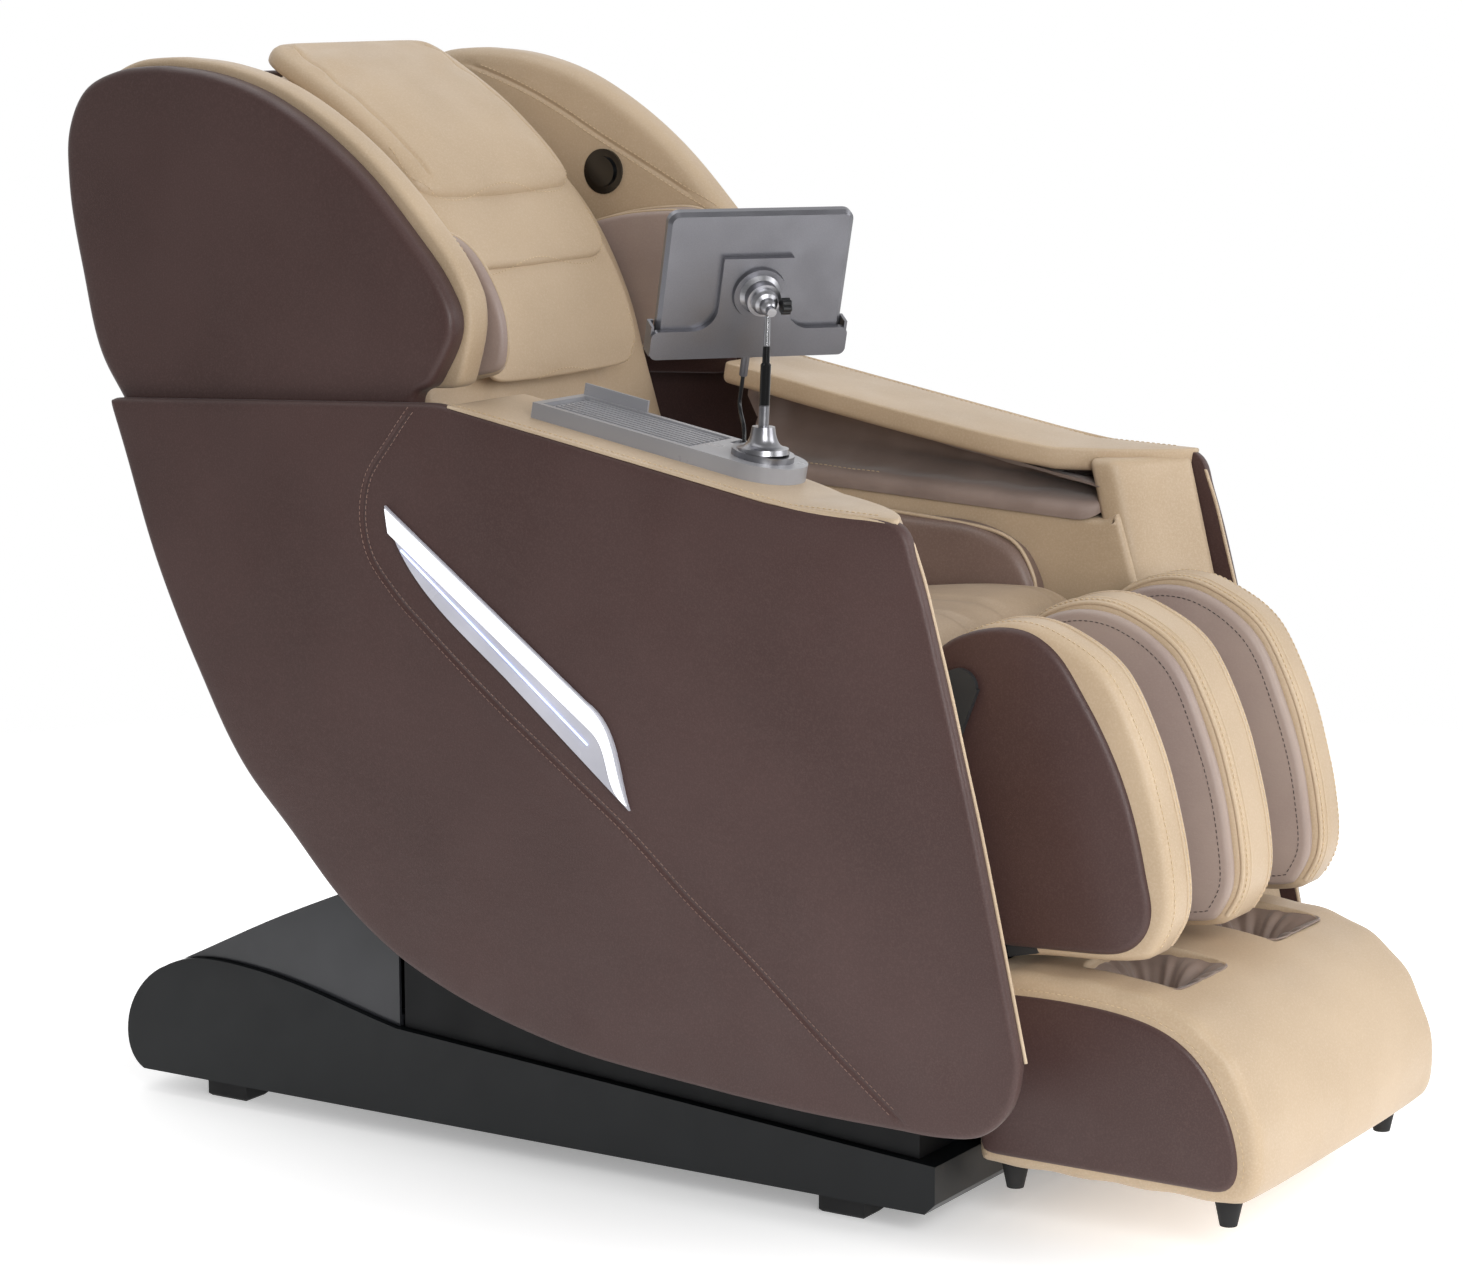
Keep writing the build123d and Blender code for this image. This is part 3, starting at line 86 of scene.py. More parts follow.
world = bpy.data.worlds.new("studio")
scene.world = world
world.use_nodes = True
sky = world.node_tree
spot = sky.nodes.new("ShaderNodeTexCoord")
facing = sky.nodes.new("ShaderNodeVectorMath")
facing.operation = "DOT_PRODUCT"
facing.inputs[1].default_value = (0.848, 0.530, 0.0)
fade = sky.nodes.new("ShaderNodeMapRange")
for key, number in (("From Min", -0.35), ("From Max", 0.75), ("To Min", 0.27), ("To Max", 1.0)):
    fade.inputs[key].default_value = number
sky.links.new(spot.outputs["Generated"], facing.inputs[0])
sky.links.new(facing.outputs["Value"], fade.inputs["Value"])
sky.links.new(fade.outputs["Result"], sky.nodes["Background"].inputs["Strength"])
sky.nodes["Background"].inputs["Color"].default_value = (1.0, 1.0, 1.0, 1)
scene.view_settings.view_transform = "Standard"
print("camera and", len(bpy.data.lights), "lights")

# %% [markdown]
# ## The tablet's lead
# A thin black lead hangs from the strain relief under the tablet and goes into the
# port in the tray. It is limp enough to bow, so its line is a smooth curve through a
# few loose points.

# %% The tablet's lead
MM = 0.001


def tone(code):
    """Turn a colour like #c9b394 into the linear values that a shader takes."""
    channels = [int(code[i:i + 2], 16) / 255 for i in (1, 3, 5)]
    return tuple(c / 12.92 if c <= 0.04045 else ((c + 0.055) / 1.055) ** 2.4 for c in channels) + (1.0,)


def smooth_curve(name, points, radius, order=3):
    """Make a round cord or piping along a smooth line near some points."""
    data = bpy.data.curves.new(name, "CURVE")
    data.dimensions = "3D"
    data.bevel_depth = radius
    data.bevel_resolution = 4
    data.resolution_u = 10
    data.use_fill_caps = True
    spline = data.splines.new("NURBS")
    spline.points.add(len(points) - 1)
    for point, place in zip(spline.points, points):
        point.co = (*place, 1.0)
    spline.order_u = order
    spline.use_endpoint_u = True
    piece = bpy.data.objects.new(name, data)
    scene.collection.objects.link(piece)
    return piece


def tablet_spot(across, up, behind):
    """A place on the tablet: from its centre, across it, up it and out of its back."""
    turn, lean = math.radians(-40), math.radians(22)
    wide = Vector((math.cos(turn), math.sin(turn), 0))
    back = Vector((math.sin(turn) * math.cos(lean), -math.cos(turn) * math.cos(lean), -math.sin(lean)))
    return Vector((-0.235, -0.129, 0.967)) + wide * across + back.cross(wide) * up + back * behind


def tray_spot(x, along, above):
    """A place on the armrest's sloping top."""
    slope = math.radians(10.4)
    return Vector((x, -0.040 + along * math.cos(slope) - above * math.sin(slope),
                   0.7919 + along * math.sin(slope) + above * math.cos(slope)))


lead_top = tablet_spot(0, -0.105, 0.002)
lead_points = [
    lead_top,
    tablet_spot(0, -0.121, 0.002),
    lead_top + Vector((0.012, 0.013, -0.035)),
    tray_spot(-0.221, -0.066, 0.029),
    tray_spot(-0.221, -0.066, 0.006),
]
lead = smooth_curve("tablet_lead_cord", lead_points, 0.0022)
print("lead points", len(lead_points))

# %% [markdown]
# ## Finishes
# Each finish is built from noise at the scale of the real surface. Leather gets a fine
# pebble grain, slow changes of colour and shine, and edges that are a little worn.
# Moulded plastic gets a faint spark texture, and metal gets fine brushing.

# %% Finishes


class Finish:
    """A material's node tree with short helpers."""

    def __init__(self, name):
        self.material = bpy.data.materials.new(name)
        self.material.use_nodes = True
        self.tree = self.material.node_tree
        self.shader = self.tree.nodes["Principled BSDF"]
        self.place = self.node("ShaderNodeTexCoord").outputs["Object"]

    def node(self, kind, **values):
        made = self.tree.nodes.new(kind)
        for key, value in values.items():
            socket = made.inputs.get(key.replace("_", " "))
            if socket is not None:
                socket.default_value = value
            else:
                setattr(made, key, value)
        return made

    def link(self, source, target):
        self.tree.links.new(source, target)
        return target

    def noise(self, scale, detail=3.0, stretch=None):
        made = self.node("ShaderNodeTexNoise", Scale=scale, Detail=detail)
        self.link(self.stretched(stretch), made.inputs["Vector"])
        return made.outputs["Fac"]

    def pebbles(self, scale, stretch=None):
        made = self.node("ShaderNodeTexVoronoi", Scale=scale)
        self.link(self.stretched(stretch), made.inputs["Vector"])
        return made.outputs["Distance"]

    def stretched(self, stretch):
        if stretch is None:
            return self.place
        mapping = self.node("ShaderNodeMapping")
        mapping.inputs["Scale"].default_value = stretch
        self.link(self.place, mapping.inputs["Vector"])
        return mapping.outputs["Vector"]

    def span(self, value, low, high, to_low=0.0, to_high=1.0):
        made = self.node("ShaderNodeMapRange")
        for key, number in (("From Min", low), ("From Max", high), ("To Min", to_low), ("To Max", to_high)):
            made.inputs[key].default_value = number
        self.link(value, made.inputs["Value"])
        return made.outputs["Result"]

    def mix(self, share, first, second):
        made = self.node("ShaderNodeMix", data_type="RGBA")
        self.link(share, made.inputs[0])
        for index, colour in ((6, first), (7, second)):
            if isinstance(colour, tuple):
                made.inputs[index].default_value = colour
            else:
                self.link(colour, made.inputs[index])
        return made.outputs[2]

    def bump(self, height, strength, distance, under=None):
        made = self.node("ShaderNodeBump", Strength=strength, Distance=distance)
        self.link(height, made.inputs["Height"])
        if under is not None:
            self.link(under, made.inputs["Normal"])
        return made.outputs["Normal"]

    def worn_edges(self, colour, worn, reach=0.52):
        shape = self.node("ShaderNodeNewGeometry")
        return self.mix(self.span(shape.outputs["Pointiness"], reach, reach + 0.08, 0, 0.45), colour, worn)


def leather(name, base, deep, light, grain=520.0, gloss=0.42, puckers=0.0):
    """Upholstery leather: pebble grain, slow mottling, and lighter worn edges."""
    f = Finish(name)
    mottled = f.mix(f.span(f.noise(5.5, 4), 0.35, 0.68), tone(deep), tone(base))
    specked = f.mix(f.span(f.noise(grain * 0.7, 2), 0.45, 0.75, 0, 0.30), mottled, tone(light))
    f.link(f.worn_edges(specked, tone(light)), f.shader.inputs["Base Color"])
    pebbled = f.bump(f.pebbles(grain), 0.16, 0.0006)
    creased = f.bump(f.noise(34, 5, (1, 1, 2.2)), 0.10 + puckers, 0.004, pebbled)
    f.link(f.bump(f.noise(grain * 2.3, 2), 0.05, 0.0003, creased), f.shader.inputs["Normal"])
    f.link(f.span(f.noise(16, 3), 0.3, 0.7, gloss - 0.06, gloss + 0.09), f.shader.inputs["Roughness"])
    f.shader.inputs["Sheen Weight"].default_value = 0.06
    f.shader.inputs["Specular IOR Level"].default_value = 0.42
    return f.material


def cloth(name, base, deep, weave=900.0):
    """Stretch cloth over an airbag: a fine weave, soft sheen and small puckers."""
    f = Finish(name)
    colour = f.mix(f.span(f.noise(11, 4), 0.35, 0.66), tone(deep), tone(base))
    f.link(colour, f.shader.inputs["Base Color"])
    warp = f.node("ShaderNodeTexWave", Scale=weave / 3, wave_type="BANDS", bands_direction="DIAGONAL")
    f.link(f.place, warp.inputs["Vector"])
    woven = f.bump(warp.outputs["Fac"], 0.14, 0.0004)
    f.link(f.bump(f.noise(42, 4, (1, 1, 2.6)), 0.24, 0.005, woven), f.shader.inputs["Normal"])
    f.link(f.span(f.noise(22, 2), 0.3, 0.7, 0.52, 0.66), f.shader.inputs["Roughness"])
    f.shader.inputs["Sheen Weight"].default_value = 0.22
    return f.material


def plastic(name, base, light, rough=0.36, spark=0.05, coat=0.0, level=0.5):
    """Moulded plastic: a faint spark texture, slight sheen changes and paler edges."""
    f = Finish(name)
    colour = f.mix(f.span(f.noise(7, 3), 0.35, 0.7), tone(base), tone(light))
    f.link(f.worn_edges(colour, tone(light), 0.55), f.shader.inputs["Base Color"])
    f.link(f.bump(f.noise(1400, 2), spark, 0.0003), f.shader.inputs["Normal"])
    f.link(f.span(f.noise(26, 4), 0.3, 0.7, rough - 0.04, rough + 0.06), f.shader.inputs["Roughness"])
    f.shader.inputs["Coat Weight"].default_value = coat
    f.shader.inputs["Coat Roughness"].default_value = 0.08
    f.shader.inputs["Specular IOR Level"].default_value = level
    return f.material


def metal(name, base, light, rough=0.3, brushing=(400, 400, 12), metallic=1.0):
    """Metal: fine brushing along one direction and a little cloudiness."""
    f = Finish(name)
    lines = f.noise(1.0, 4, brushing)
    f.link(f.mix(f.span(lines, 0.3, 0.7), tone(base), tone(light)), f.shader.inputs["Base Color"])
    f.link(f.bump(lines, 0.06, 0.0003), f.shader.inputs["Normal"])
    f.link(f.span(f.noise(30, 3), 0.3, 0.7, rough - 0.05, rough + 0.07), f.shader.inputs["Roughness"])
    f.shader.inputs["Metallic"].default_value = metallic
    return f.material


def lamp_finish(name, edge, glow, strength):
    """A lit diffuser: milky plastic that glows evenly, with faint streaks."""
    f = Finish(name)
    streaks = f.span(f.noise(9, 2, (1, 1, 3)), 0.3, 0.7)
    f.link(f.mix(streaks, tone(edge), tone(glow)), f.shader.inputs["Base Color"])
    f.link(f.mix(streaks, tone(edge), tone(glow)), f.shader.inputs["Emission Color"])
    f.shader.inputs["Emission Strength"].default_value = strength
    f.shader.inputs["Roughness"].default_value = 0.25
    return f.material


brown = leather("brown_leather", "#4a3431", "#432e2b", "#654e4a", grain=760, gloss=0.44)
tan = leather("tan_leather", "#c2ab8f", "#b69f83", "#d2c0a7", grain=640, gloss=0.44, puckers=0.03)
# The seat's leather is the tan leather made darker: painted shade on the seat cushion, which sits low between the
# armrests.
shaded_seat_tan = leather("shaded_seat_leather", "#a8927a", "#9b866e", "#bba991", grain=640, gloss=0.42, puckers=0.04)
taupe = leather("taupe_leather", "#a8968b", "#998780", "#ab9b90", grain=640, gloss=0.40, puckers=0.06)
hip_taupe = leather("hip_leather", "#7d685f", "#6d5951", "#948076", grain=640, gloss=0.36)
pad_cloth = cloth("airbag_cloth", "#8b786c", "#77655b")
slot_cloth = cloth("slot_cloth", "#9c8a81", "#85746c")
thread_tan = cloth("tan_thread", "#d9c3a0", "#c9b08a", weave=2400)
thread_brown = cloth("brown_thread", "#8d6f62", "#7a5e53", weave=2400)
thread_dark = cloth("dark_thread", "#4a3c36", "#3d312c", weave=2400)
base_plastic = plastic("base_plastic", "#0b0d0f", "#121517", rough=0.36, level=0.30)
riser_plastic = plastic("riser_plastic", "#0b0c0d", "#111214", rough=0.5, level=0.25)
hood_plastic = plastic("hood_plastic", "#26272a", "#303135", rough=0.20)
black_plastic = plastic("black_plastic", "#111214", "#1d1e20", rough=0.3)
gloss_black = plastic("gloss_black", "#08090a", "#141517", rough=0.12, coat=0.6)
silver_plastic = plastic("silver_plastic", "#8b8b8f", "#9d9da1", rough=0.30, spark=0.08)
tablet_silver = metal("tablet_silver", "#727277", "#7b7b80", rough=0.33, brushing=(1300, 1300, 1300), metallic=0.8)
satin_silver = metal("satin_silver", "#a2a2a6", "#b0b0b4", rough=0.34, brushing=(60, 60, 400))
steel = metal("steel", "#8f9295", "#a9acae", rough=0.3)
frame_paint = plastic("frame_paint", "#26282a", "#313335", rough=0.42)
motor_metal = metal("motor_metal", "#5c5e60", "#717376", rough=0.42)
rubber = plastic("rubber", "#0f0f10", "#1a1a1b", rough=0.72, spark=0.12)


def pole_finish(name, foot_top, black_top):
    """The stand in one piece: a silver foot, a gloss black pole and a chrome neck."""
    f = Finish(name)
    height = f.node("ShaderNodeSeparateXYZ")
    f.link(f.place, height.inputs[0])
    black = f.span(height.outputs["Z"], foot_top, foot_top + 0.0015)
    neck = f.span(height.outputs["Z"], black_top, black_top + 0.002)
    cloud = f.mix(f.span(f.noise(40, 3), 0.3, 0.7), tone("#8b8b90"), tone("#a5a5a9"))
    f.link(f.mix(neck, f.mix(black, cloud, tone("#0a0a0b")), tone("#c8c8cb")), f.shader.inputs["Base Color"])
    shine = f.mix(neck, f.mix(black, (1, 1, 1, 1), (0.05, 0.05, 0.05, 1)), (1, 1, 1, 1))
    f.link(shine, f.shader.inputs["Metallic"])
    f.link(f.span(black, 0, 1, 0.30, 0.12), f.shader.inputs["Roughness"])
    f.link(f.bump(f.noise(900, 2), 0.04, 0.0003), f.shader.inputs["Normal"])
    return f.material


stand_finish = pole_finish("stand_finish", 0.843, 0.905)
trim_silver = plastic("trim_silver", "#b9b9c2", "#d3d3dc", rough=0.22)
lit_white = lamp_finish("lit_white", "#e6e8ef", "#ffffff", 0.55)
lit_blue = lamp_finish("lit_blue", "#9fb4ff", "#dfe6ff", 1.6)
print(len(bpy.data.materials), "finishes")

# %% [markdown]
# ## Upholstery tools
# Every upholstered piece starts as a line drawn in a plane: the edge that the leather
# is sewn to. The line is softened, lifted into a slab with rounded edges, and its faces
# are filled with a fine net of points that can swell into a dome and sink along seams.
# Working from the sewn edge keeps each piece true to the frame it covers.

# %% Upholstery tools
SIDES = (("left", 1), ("right", -1))


def side_plane(sign):
    """The plane of a side piece: along Y, up Z, and out to one side."""
    return (Vector((0, 0, 0)), Vector((0, 1, 0)), Vector((0, 0, 1)), Vector((sign, 0, 0)))


MIDDLE = side_plane(1)


def smooth_run(points, step=0.006):
    """Points at even steps along a smooth line through the given millimetre points."""
    p = np.array(points, float) * MM
    chord = np.linalg.norm(np.diff(p, axis=0), axis=1)
    if len(p) == 2:
        count = max(2, int(round(chord[0] / step)) + 1)
        return p[0] + np.linspace(0, 1, count)[:, None] * (p[1] - p[0])
    slope = np.diff(p, axis=0) / chord[:, None]
    tangent = np.vstack([slope[:1], (slope[:-1] * chord[1:, None] + slope[1:] * chord[:-1, None])
                         / (chord[1:] + chord[:-1])[:, None], slope[-1:]])
    found = []
    for i, length in enumerate(chord):
        count = max(2, int(math.ceil(length / step)))
        t = np.arange(count)[:, None] / count
        found.append((2 * t**3 - 3 * t**2 + 1) * p[i] + (t**3 - 2 * t**2 + t) * length * tangent[i]
                     + (3 * t**2 - 2 * t**3) * p[i + 1] + (t**3 - t**2) * length * tangent[i + 1])
    return np.vstack(found + [p[-1:]])


def even(line, step, closed=True):
    """The same line with its points at even steps."""
    loop = np.vstack([line, line[:1]]) if closed else line
    reach = np.concatenate([[0], np.cumsum(np.linalg.norm(np.diff(loop, axis=0), axis=1))])
    count = max(8, int(round(reach[-1] / step)))
    want = np.linspace(0, reach[-1], count + (0 if closed else 1), endpoint=not closed)
    return np.column_stack([np.interp(want, reach, loop[:, k]) for k in range(loop.shape[1])])


def edge_line(*runs, soften=0.010, step=0.006):
    """A closed, anticlockwise edge from runs of points, its corners rounded."""
    line = even(np.vstack([smooth_run(run)[:-1] for run in runs]), step)
    area = np.sum(line[:, 0] * np.roll(line[:, 1], -1) - np.roll(line[:, 0], -1) * line[:, 1])
    if area < 0:
        line = line[::-1].copy()
    if soften:
        reach = int(3 * soften / step) + 1
        weight = np.exp(-0.5 * (np.arange(-reach, reach + 1) * step / soften) ** 2)
        weight /= weight.sum()
        line = sum(w * np.roll(line, k, axis=0) for k, w in zip(range(-reach, reach + 1), weight))
    return even(line, step)


def outward(line):
    """Unit normals that point out of a closed anticlockwise line."""
    along = np.roll(line, -1, axis=0) - np.roll(line, 1, axis=0)
    along /= np.linalg.norm(along, axis=1)[:, None] + 1e-12
    return np.column_stack([along[:, 1], -along[:, 0]])


def distance_to(points, line, closed=True):
    """Each point's distance to a line."""
    a = line if closed else line[:-1]
    b = np.roll(line, -1, axis=0) if closed else line[1:]
    best = np.full(len(points), 9.0)
    for start in range(0, len(points), 4000):
        p = points[start:start + 4000]
        ab = b - a
        t = np.clip(np.einsum("pij,ij->pi", p[:, None] - a, ab) / (np.sum(ab * ab, axis=1) + 1e-15), 0, 1)
        gap = p[:, None] - (a + t[:, :, None] * ab)
        best[start:start + 4000] = np.sqrt(np.min(np.sum(gap * gap, axis=2), axis=1))
    return best


def inside(points, line):
    """Which points lie inside a closed line."""
    result = np.zeros(len(points), bool)
    a, b = line, np.roll(line, -1, axis=0)
    for (x0, y0), (x1, y1) in zip(a, b):
        cross = (y0 > points[:, 1]) != (y1 > points[:, 1])
        with np.errstate(divide="ignore", invalid="ignore"):
            at = (x1 - x0) * (points[:, 1] - y0) / (y1 - y0) + x0
        result ^= cross & (points[:, 0] < at)
    return result


def face_net(ring, step, seams):
    """Fill a ring with a net of points, denser along the seams, and return points and triangles."""
    low, high = ring.min(axis=0), ring.max(axis=0)
    columns = np.arange(low[0], high[0], step)
    rows = np.arange(low[1], high[1], step * 0.866)
    grid = np.array([(x + (k % 2) * step / 2, y) for k, y in enumerate(rows) for x in columns])
    extra = []
    for seam in seams:
        line = even(seam, step * 0.6, closed=False)
        along = np.gradient(line, axis=0)
        along /= np.linalg.norm(along, axis=1)[:, None]
        side = np.column_stack([-along[:, 1], along[:, 0]])
        grid = grid[distance_to(grid, line, closed=False) > 0.0075]
        extra += [line + side * gap for gap in (-0.0056, -0.003, -0.0013, 0, 0.0013, 0.003, 0.0056)]
    if extra:
        grid = np.vstack([grid] + extra)
    keep = inside(grid, ring) & (distance_to(grid, ring) > step * 0.35)
    grid = grid[keep]
    points = [Vector(p) for p in np.vstack([ring, grid])]
    made = delaunay_2d_cdt(points, [], [list(range(len(ring)))], 1, 1e-7)
    return np.array([tuple(p) for p in made[0]]), [tuple(face) for face in made[2]]


def to_space(plane, u, v, w):
    """Turn plane coordinates into places in the frame. A bent surface is a function."""
    if callable(plane):
        return plane(u, v, w)
    origin, along, up, out = (np.array(part) for part in plane)
    return origin + np.outer(u, along) + np.outer(v, up) + np.outer(w, out)


def upholster(name, line, low, high, plane=MIDDLE, round_low=6, round_high=10, dome_low=0, dome_high=0,
              dome_reach=90, belly=0, step=0.009, seams=(), seam_depth=2.2, seams_low=(), wall=None,
              finishes=None, face_shape=None):
    """Build a padded slab between two heights, in millimetres, over a closed line in metres."""
    low, high, r_low, r_high = low * MM, high * MM, round_low * MM, round_high * MM
    normals = outward(line)
    span = (high - r_high) - (low + r_low)
    rings = []
    for k in range(5):
        angle = math.radians(90 - 22.5 * k)
        rings.append((r_low * (1 - math.cos(angle)), low + r_low * (1 - math.sin(angle)), -1.0))
    walls = max(1, int(span / (step * 1.2)))
    for k in range(1, walls):
        rings.append((-belly * MM * math.sin(math.pi * k / walls), low + r_low + span * k / walls, k / walls))
    for k in range(5):
        angle = math.radians(22.5 * k)
        rings.append((r_high * (1 - math.cos(angle)), high - r_high * (1 - math.sin(angle)), 2.0))
    count = len(line)
    vertices, faces, slots = [], [], []
    for inset, height, share in rings:
        place = line - normals * inset
        if wall is not None:
            extra = wall(line, normals, height)
            place = place + normals * extra[:, None]
        vertices.append(to_space(plane, place[:, 0], place[:, 1], np.full(count, height)))
    for k in range(len(rings) - 1):
        for i in range(count):
            j = (i + 1) % count
            faces.append((k * count + i, k * count + j, (k + 1) * count + j, (k + 1) * count + i))
            slots.append(0)
    total = count * len(rings)
    for end, inset, height, dome, lines, slot_index in (
        (0, r_low, low, -dome_low, seams_low, 2), (len(rings) - 1, r_high, high, dome_high, seams, 1)):
        ring = line - normals * inset
        net, triangles = face_net(ring, step * 1.25, lines)
        depth = distance_to(net, ring)
        share = 1 - (1 - np.clip(depth / (dome_reach * MM), 0, 1)) ** 2
        rise = height + dome * MM * share
        for seam in lines:
            gap = distance_to(net, seam, closed=False)
            sign = 1 if dome >= 0 and end else -1
            rise -= sign * seam_depth * MM * (np.exp(-(gap / 0.0022) ** 2) - 0.35 * np.exp(-(gap / 0.011) ** 2))
        if face_shape is not None:
            rise = rise + face_shape(net, end > 0)
        ring_start = end * count
        remap = []
        edge_count = len(ring)
        added = []
        for index, (u, v) in enumerate(net):
            if index < edge_count:
                remap.append(ring_start + index)
            else:
                remap.append(total + len(added))
                added.append(index)
        if added:
            spots = net[added]
            vertices.append(to_space(plane, spots[:, 0], spots[:, 1], rise[added]))
            total += len(added)
        for triangle in triangles:
            faces.append(tuple(remap[i] for i in triangle))
            slots.append(slot_index)
    mesh = bpy.data.meshes.new(name)
    mesh.from_pydata(np.vstack(vertices).tolist(), [], faces)
    tidy = bmesh.new()
    tidy.from_mesh(mesh)
    bmesh.ops.recalc_face_normals(tidy, faces=tidy.faces)
    tidy.to_mesh(mesh)
    tidy.free()
    piece = bpy.data.objects.new(name, mesh)
    scene.collection.objects.link(piece)
    finishes = finishes or [brown]
    for finish in finishes:
        mesh.materials.append(finish)
    chosen = [min(s, len(finishes) - 1) for s in slots]
    mesh.polygons.foreach_set("material_index", chosen)
    mesh.polygons.foreach_set("use_smooth", [True] * len(mesh.polygons))
    mesh.update()
    return piece


def join(name, pieces):
    """Make one object of several."""
    with bpy.context.temp_override(active_object=pieces[0], selected_editable_objects=pieces,
                                   selected_objects=pieces):
        bpy.ops.object.join()
    pieces[0].name = name
    return pieces[0]


def surface_of(piece):
    depsgraph = bpy.context.evaluated_depsgraph_get()
    return BVHTree.FromObject(piece, depsgraph)


def laid_on(piece, plane, line, start=0.5):
    """Drop plane points on to a piece from outside and return places and normals."""
    tree = surface_of(piece)
    origin, along, up, out = plane
    found = []
    for u, v in line:
        here = origin + along * u + up * v + out * start
        place, normal, _, _ = tree.ray_cast(here, -out)
        if place is not None:
            found.append((place, normal))
    return found


def stitch_row(name, laid, finish, body, length=4.2, radius=0.55, sink=0.15):
    """Sew a row of stitches along laid points that are one stitch apart."""
    mesh = bmesh.new()
    for (here, normal), (after, _) in zip(laid[:-1], laid[1:]):
        along = after - here
        if along.length < 1e-5 or along.length > 0.02:
            continue
        along.normalize()
        side = normal.cross(along).normalized()
        lift = normal * (radius - sink) * MM
        rings = []
        for share, size in ((-0.5, 0.35), (-0.36, 0.9), (0.36, 0.9), (0.5, 0.35)):
            centre = here + along * (share * length * MM) + lift * (1 if abs(share) < 0.4 else 0.2)
            ring = []
            for k in range(6):
                angle = math.tau * k / 6
                ring.append(mesh.verts.new(centre + (side * math.cos(angle) + normal * math.sin(angle))
                                           * radius * size * MM))
            rings.append(ring)
        for a, b in zip(rings[:-1], rings[1:]):
            for k in range(6):
                mesh.faces.new((a[k], a[(k + 1) % 6], b[(k + 1) % 6], b[k]))
        mesh.faces.new(rings[0][::-1])
        mesh.faces.new(rings[-1])
    data = bpy.data.meshes.new(name)
    mesh.to_mesh(data)
    mesh.free()
    data.materials.append(finish)
    data.polygons.foreach_set("use_smooth", [True] * len(data.polygons))
    piece = bpy.data.objects.new(name, data)
    scene.collection.objects.link(piece)
    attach(piece, body)
    return piece


def beside(line, gap):
    """An open line shifted sideways, in millimetres."""
    along = np.gradient(line, axis=0)
    along /= np.linalg.norm(along, axis=1)[:, None]
    return line + np.column_stack([-along[:, 1], along[:, 0]]) * gap * MM


def dress(piece, stands_for, body):
    """Let a padded piece stand for a frame part, and ride on that part's body."""
    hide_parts(stands_for)
    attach(piece, body)


def piping(name, places, radius, finish, body, closed=False):
    """A thin round cord of leather along a row of places."""
    cord = smooth_curve(name, places, radius * MM)
    cord.data.splines[0].use_cyclic_u = closed
    if closed:
        cord.data.splines[0].use_endpoint_u = False
    cord.data.bevel_resolution = 3
    cord.data.resolution_u = 3
    cord.data.materials.append(finish)
    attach(cord, body)
    return cord


print("upholstery tools ready")

# %% [markdown]
# ## Side panels
# Each side is a thin plate under foam and brown leather. Its belly sweeps up from the
# round front foot to the split under the wing. One curved seam, sewn twice, starts at
# the armrest's rear corner, loops behind the light trim and runs down to the foot. The
# leather wraps round the panel's front edge to the armrest's front end.

# %% Side panels
PANEL_FRONT = [(-258, 754.5), (-300, 752), (-345, 751), (-364, 747.5), (-374, 738), (-381, 714), (-389, 691),
               (-419, 585), (-452, 458), (-480, 339), (-508, 216)]
panel_line = edge_line(
    [(650, 814), (197, 834)],
    [(197, 834), (-215, 757.5)],
    [(-215, 757.5)] + PANEL_FRONT,
    [(-508, 216), (-499, 173), (-466, 136), (-420, 127), (-368, 127), (-250, 129), (-128, 137), (62, 158),
     (193, 195), (260, 225), (328, 272), (409, 353), (464, 409), (532, 521), (587, 635), (633, 767), (650, 814)],
    soften=0.006)
double_seam = smooth_run([(220, 838), (256, 792), (288, 745), (294, 711), (287, 671), (253, 627), (204, 585),
                          (118, 517), (23, 449), (-53, 394), (-121, 337), (-195, 282), (-284, 209), (-349, 158),
                          (-380, 134)])


def sag(net, is_face):
    """Slow unevenness of leather over foam."""
    return 0.0005 * np.sin(net[:, 0] * 9 + 1.0) * np.cos(net[:, 1] * 7) * is_face


side_panels = []
for side, sign in SIDES:
    plane = side_plane(sign)
    outer = upholster(f"panel_skin_{side}", panel_line, 335, 349.2, plane, 2, 7, dome_high=1.0, dome_reach=60,
                      seams=[double_seam], seam_depth=1.6, face_shape=sag, finishes=[brown])
    band_line = edge_line(
        [(-322, 713), (-349, 713)],
        [(-349, 713), (-358, 691), (-388, 585), (-423, 458), (-452, 339), (-480, 216)],
        [(-480, 216), (-472, 180), (-446, 157), (-410, 148), (-368, 146), (-300, 146)],
        [(-300, 146), (-300, 176)],
        [(-300, 176), (-414, 188), (-446, 228), (-418, 340), (-388, 458), (-354, 580), (-328, 690)],
        [(-328, 690), (-322, 713)], soften=0.004)
    wrap = upholster(f"panel_wrap_{side}", band_line, 313, 344, plane, 8, 2, finishes=[brown])
    panel = join(f"side_panel_{side}_leather", [outer, wrap])
    dress(panel, f"side_panel_{side}", "seat")
    side_panels.append(panel)
    for gap, label in ((4.2, "upper"), (-4.2, "lower")):
        row = even(beside(double_seam, gap)[3:-3], 0.0062, closed=False)
        stitch_row(f"panel_stitches_{label}_{side}", laid_on(panel, plane, row), thread_brown, "seat")
print("side panels with", len(side_panels[0].data.polygons), "faces each")

# %% [markdown]
# ## Light trims
# A blade-shaped trim sits in the seam's loop on each side. Its upper edge is a milky
# lit band, its face is silver, and a hair-thin blue line of light is laid along it.

# %% Light trims
for side, sign in SIDES:
    line = smooth_run([(241, 675), (2, 488)])
    glow = piping(f"trim_glow_{side}", [Vector((sign * 0.3546, u, v)) for u, v in even(line, 0.04, False)],
                  1.0, lit_blue, "seat")
print("light trims done")

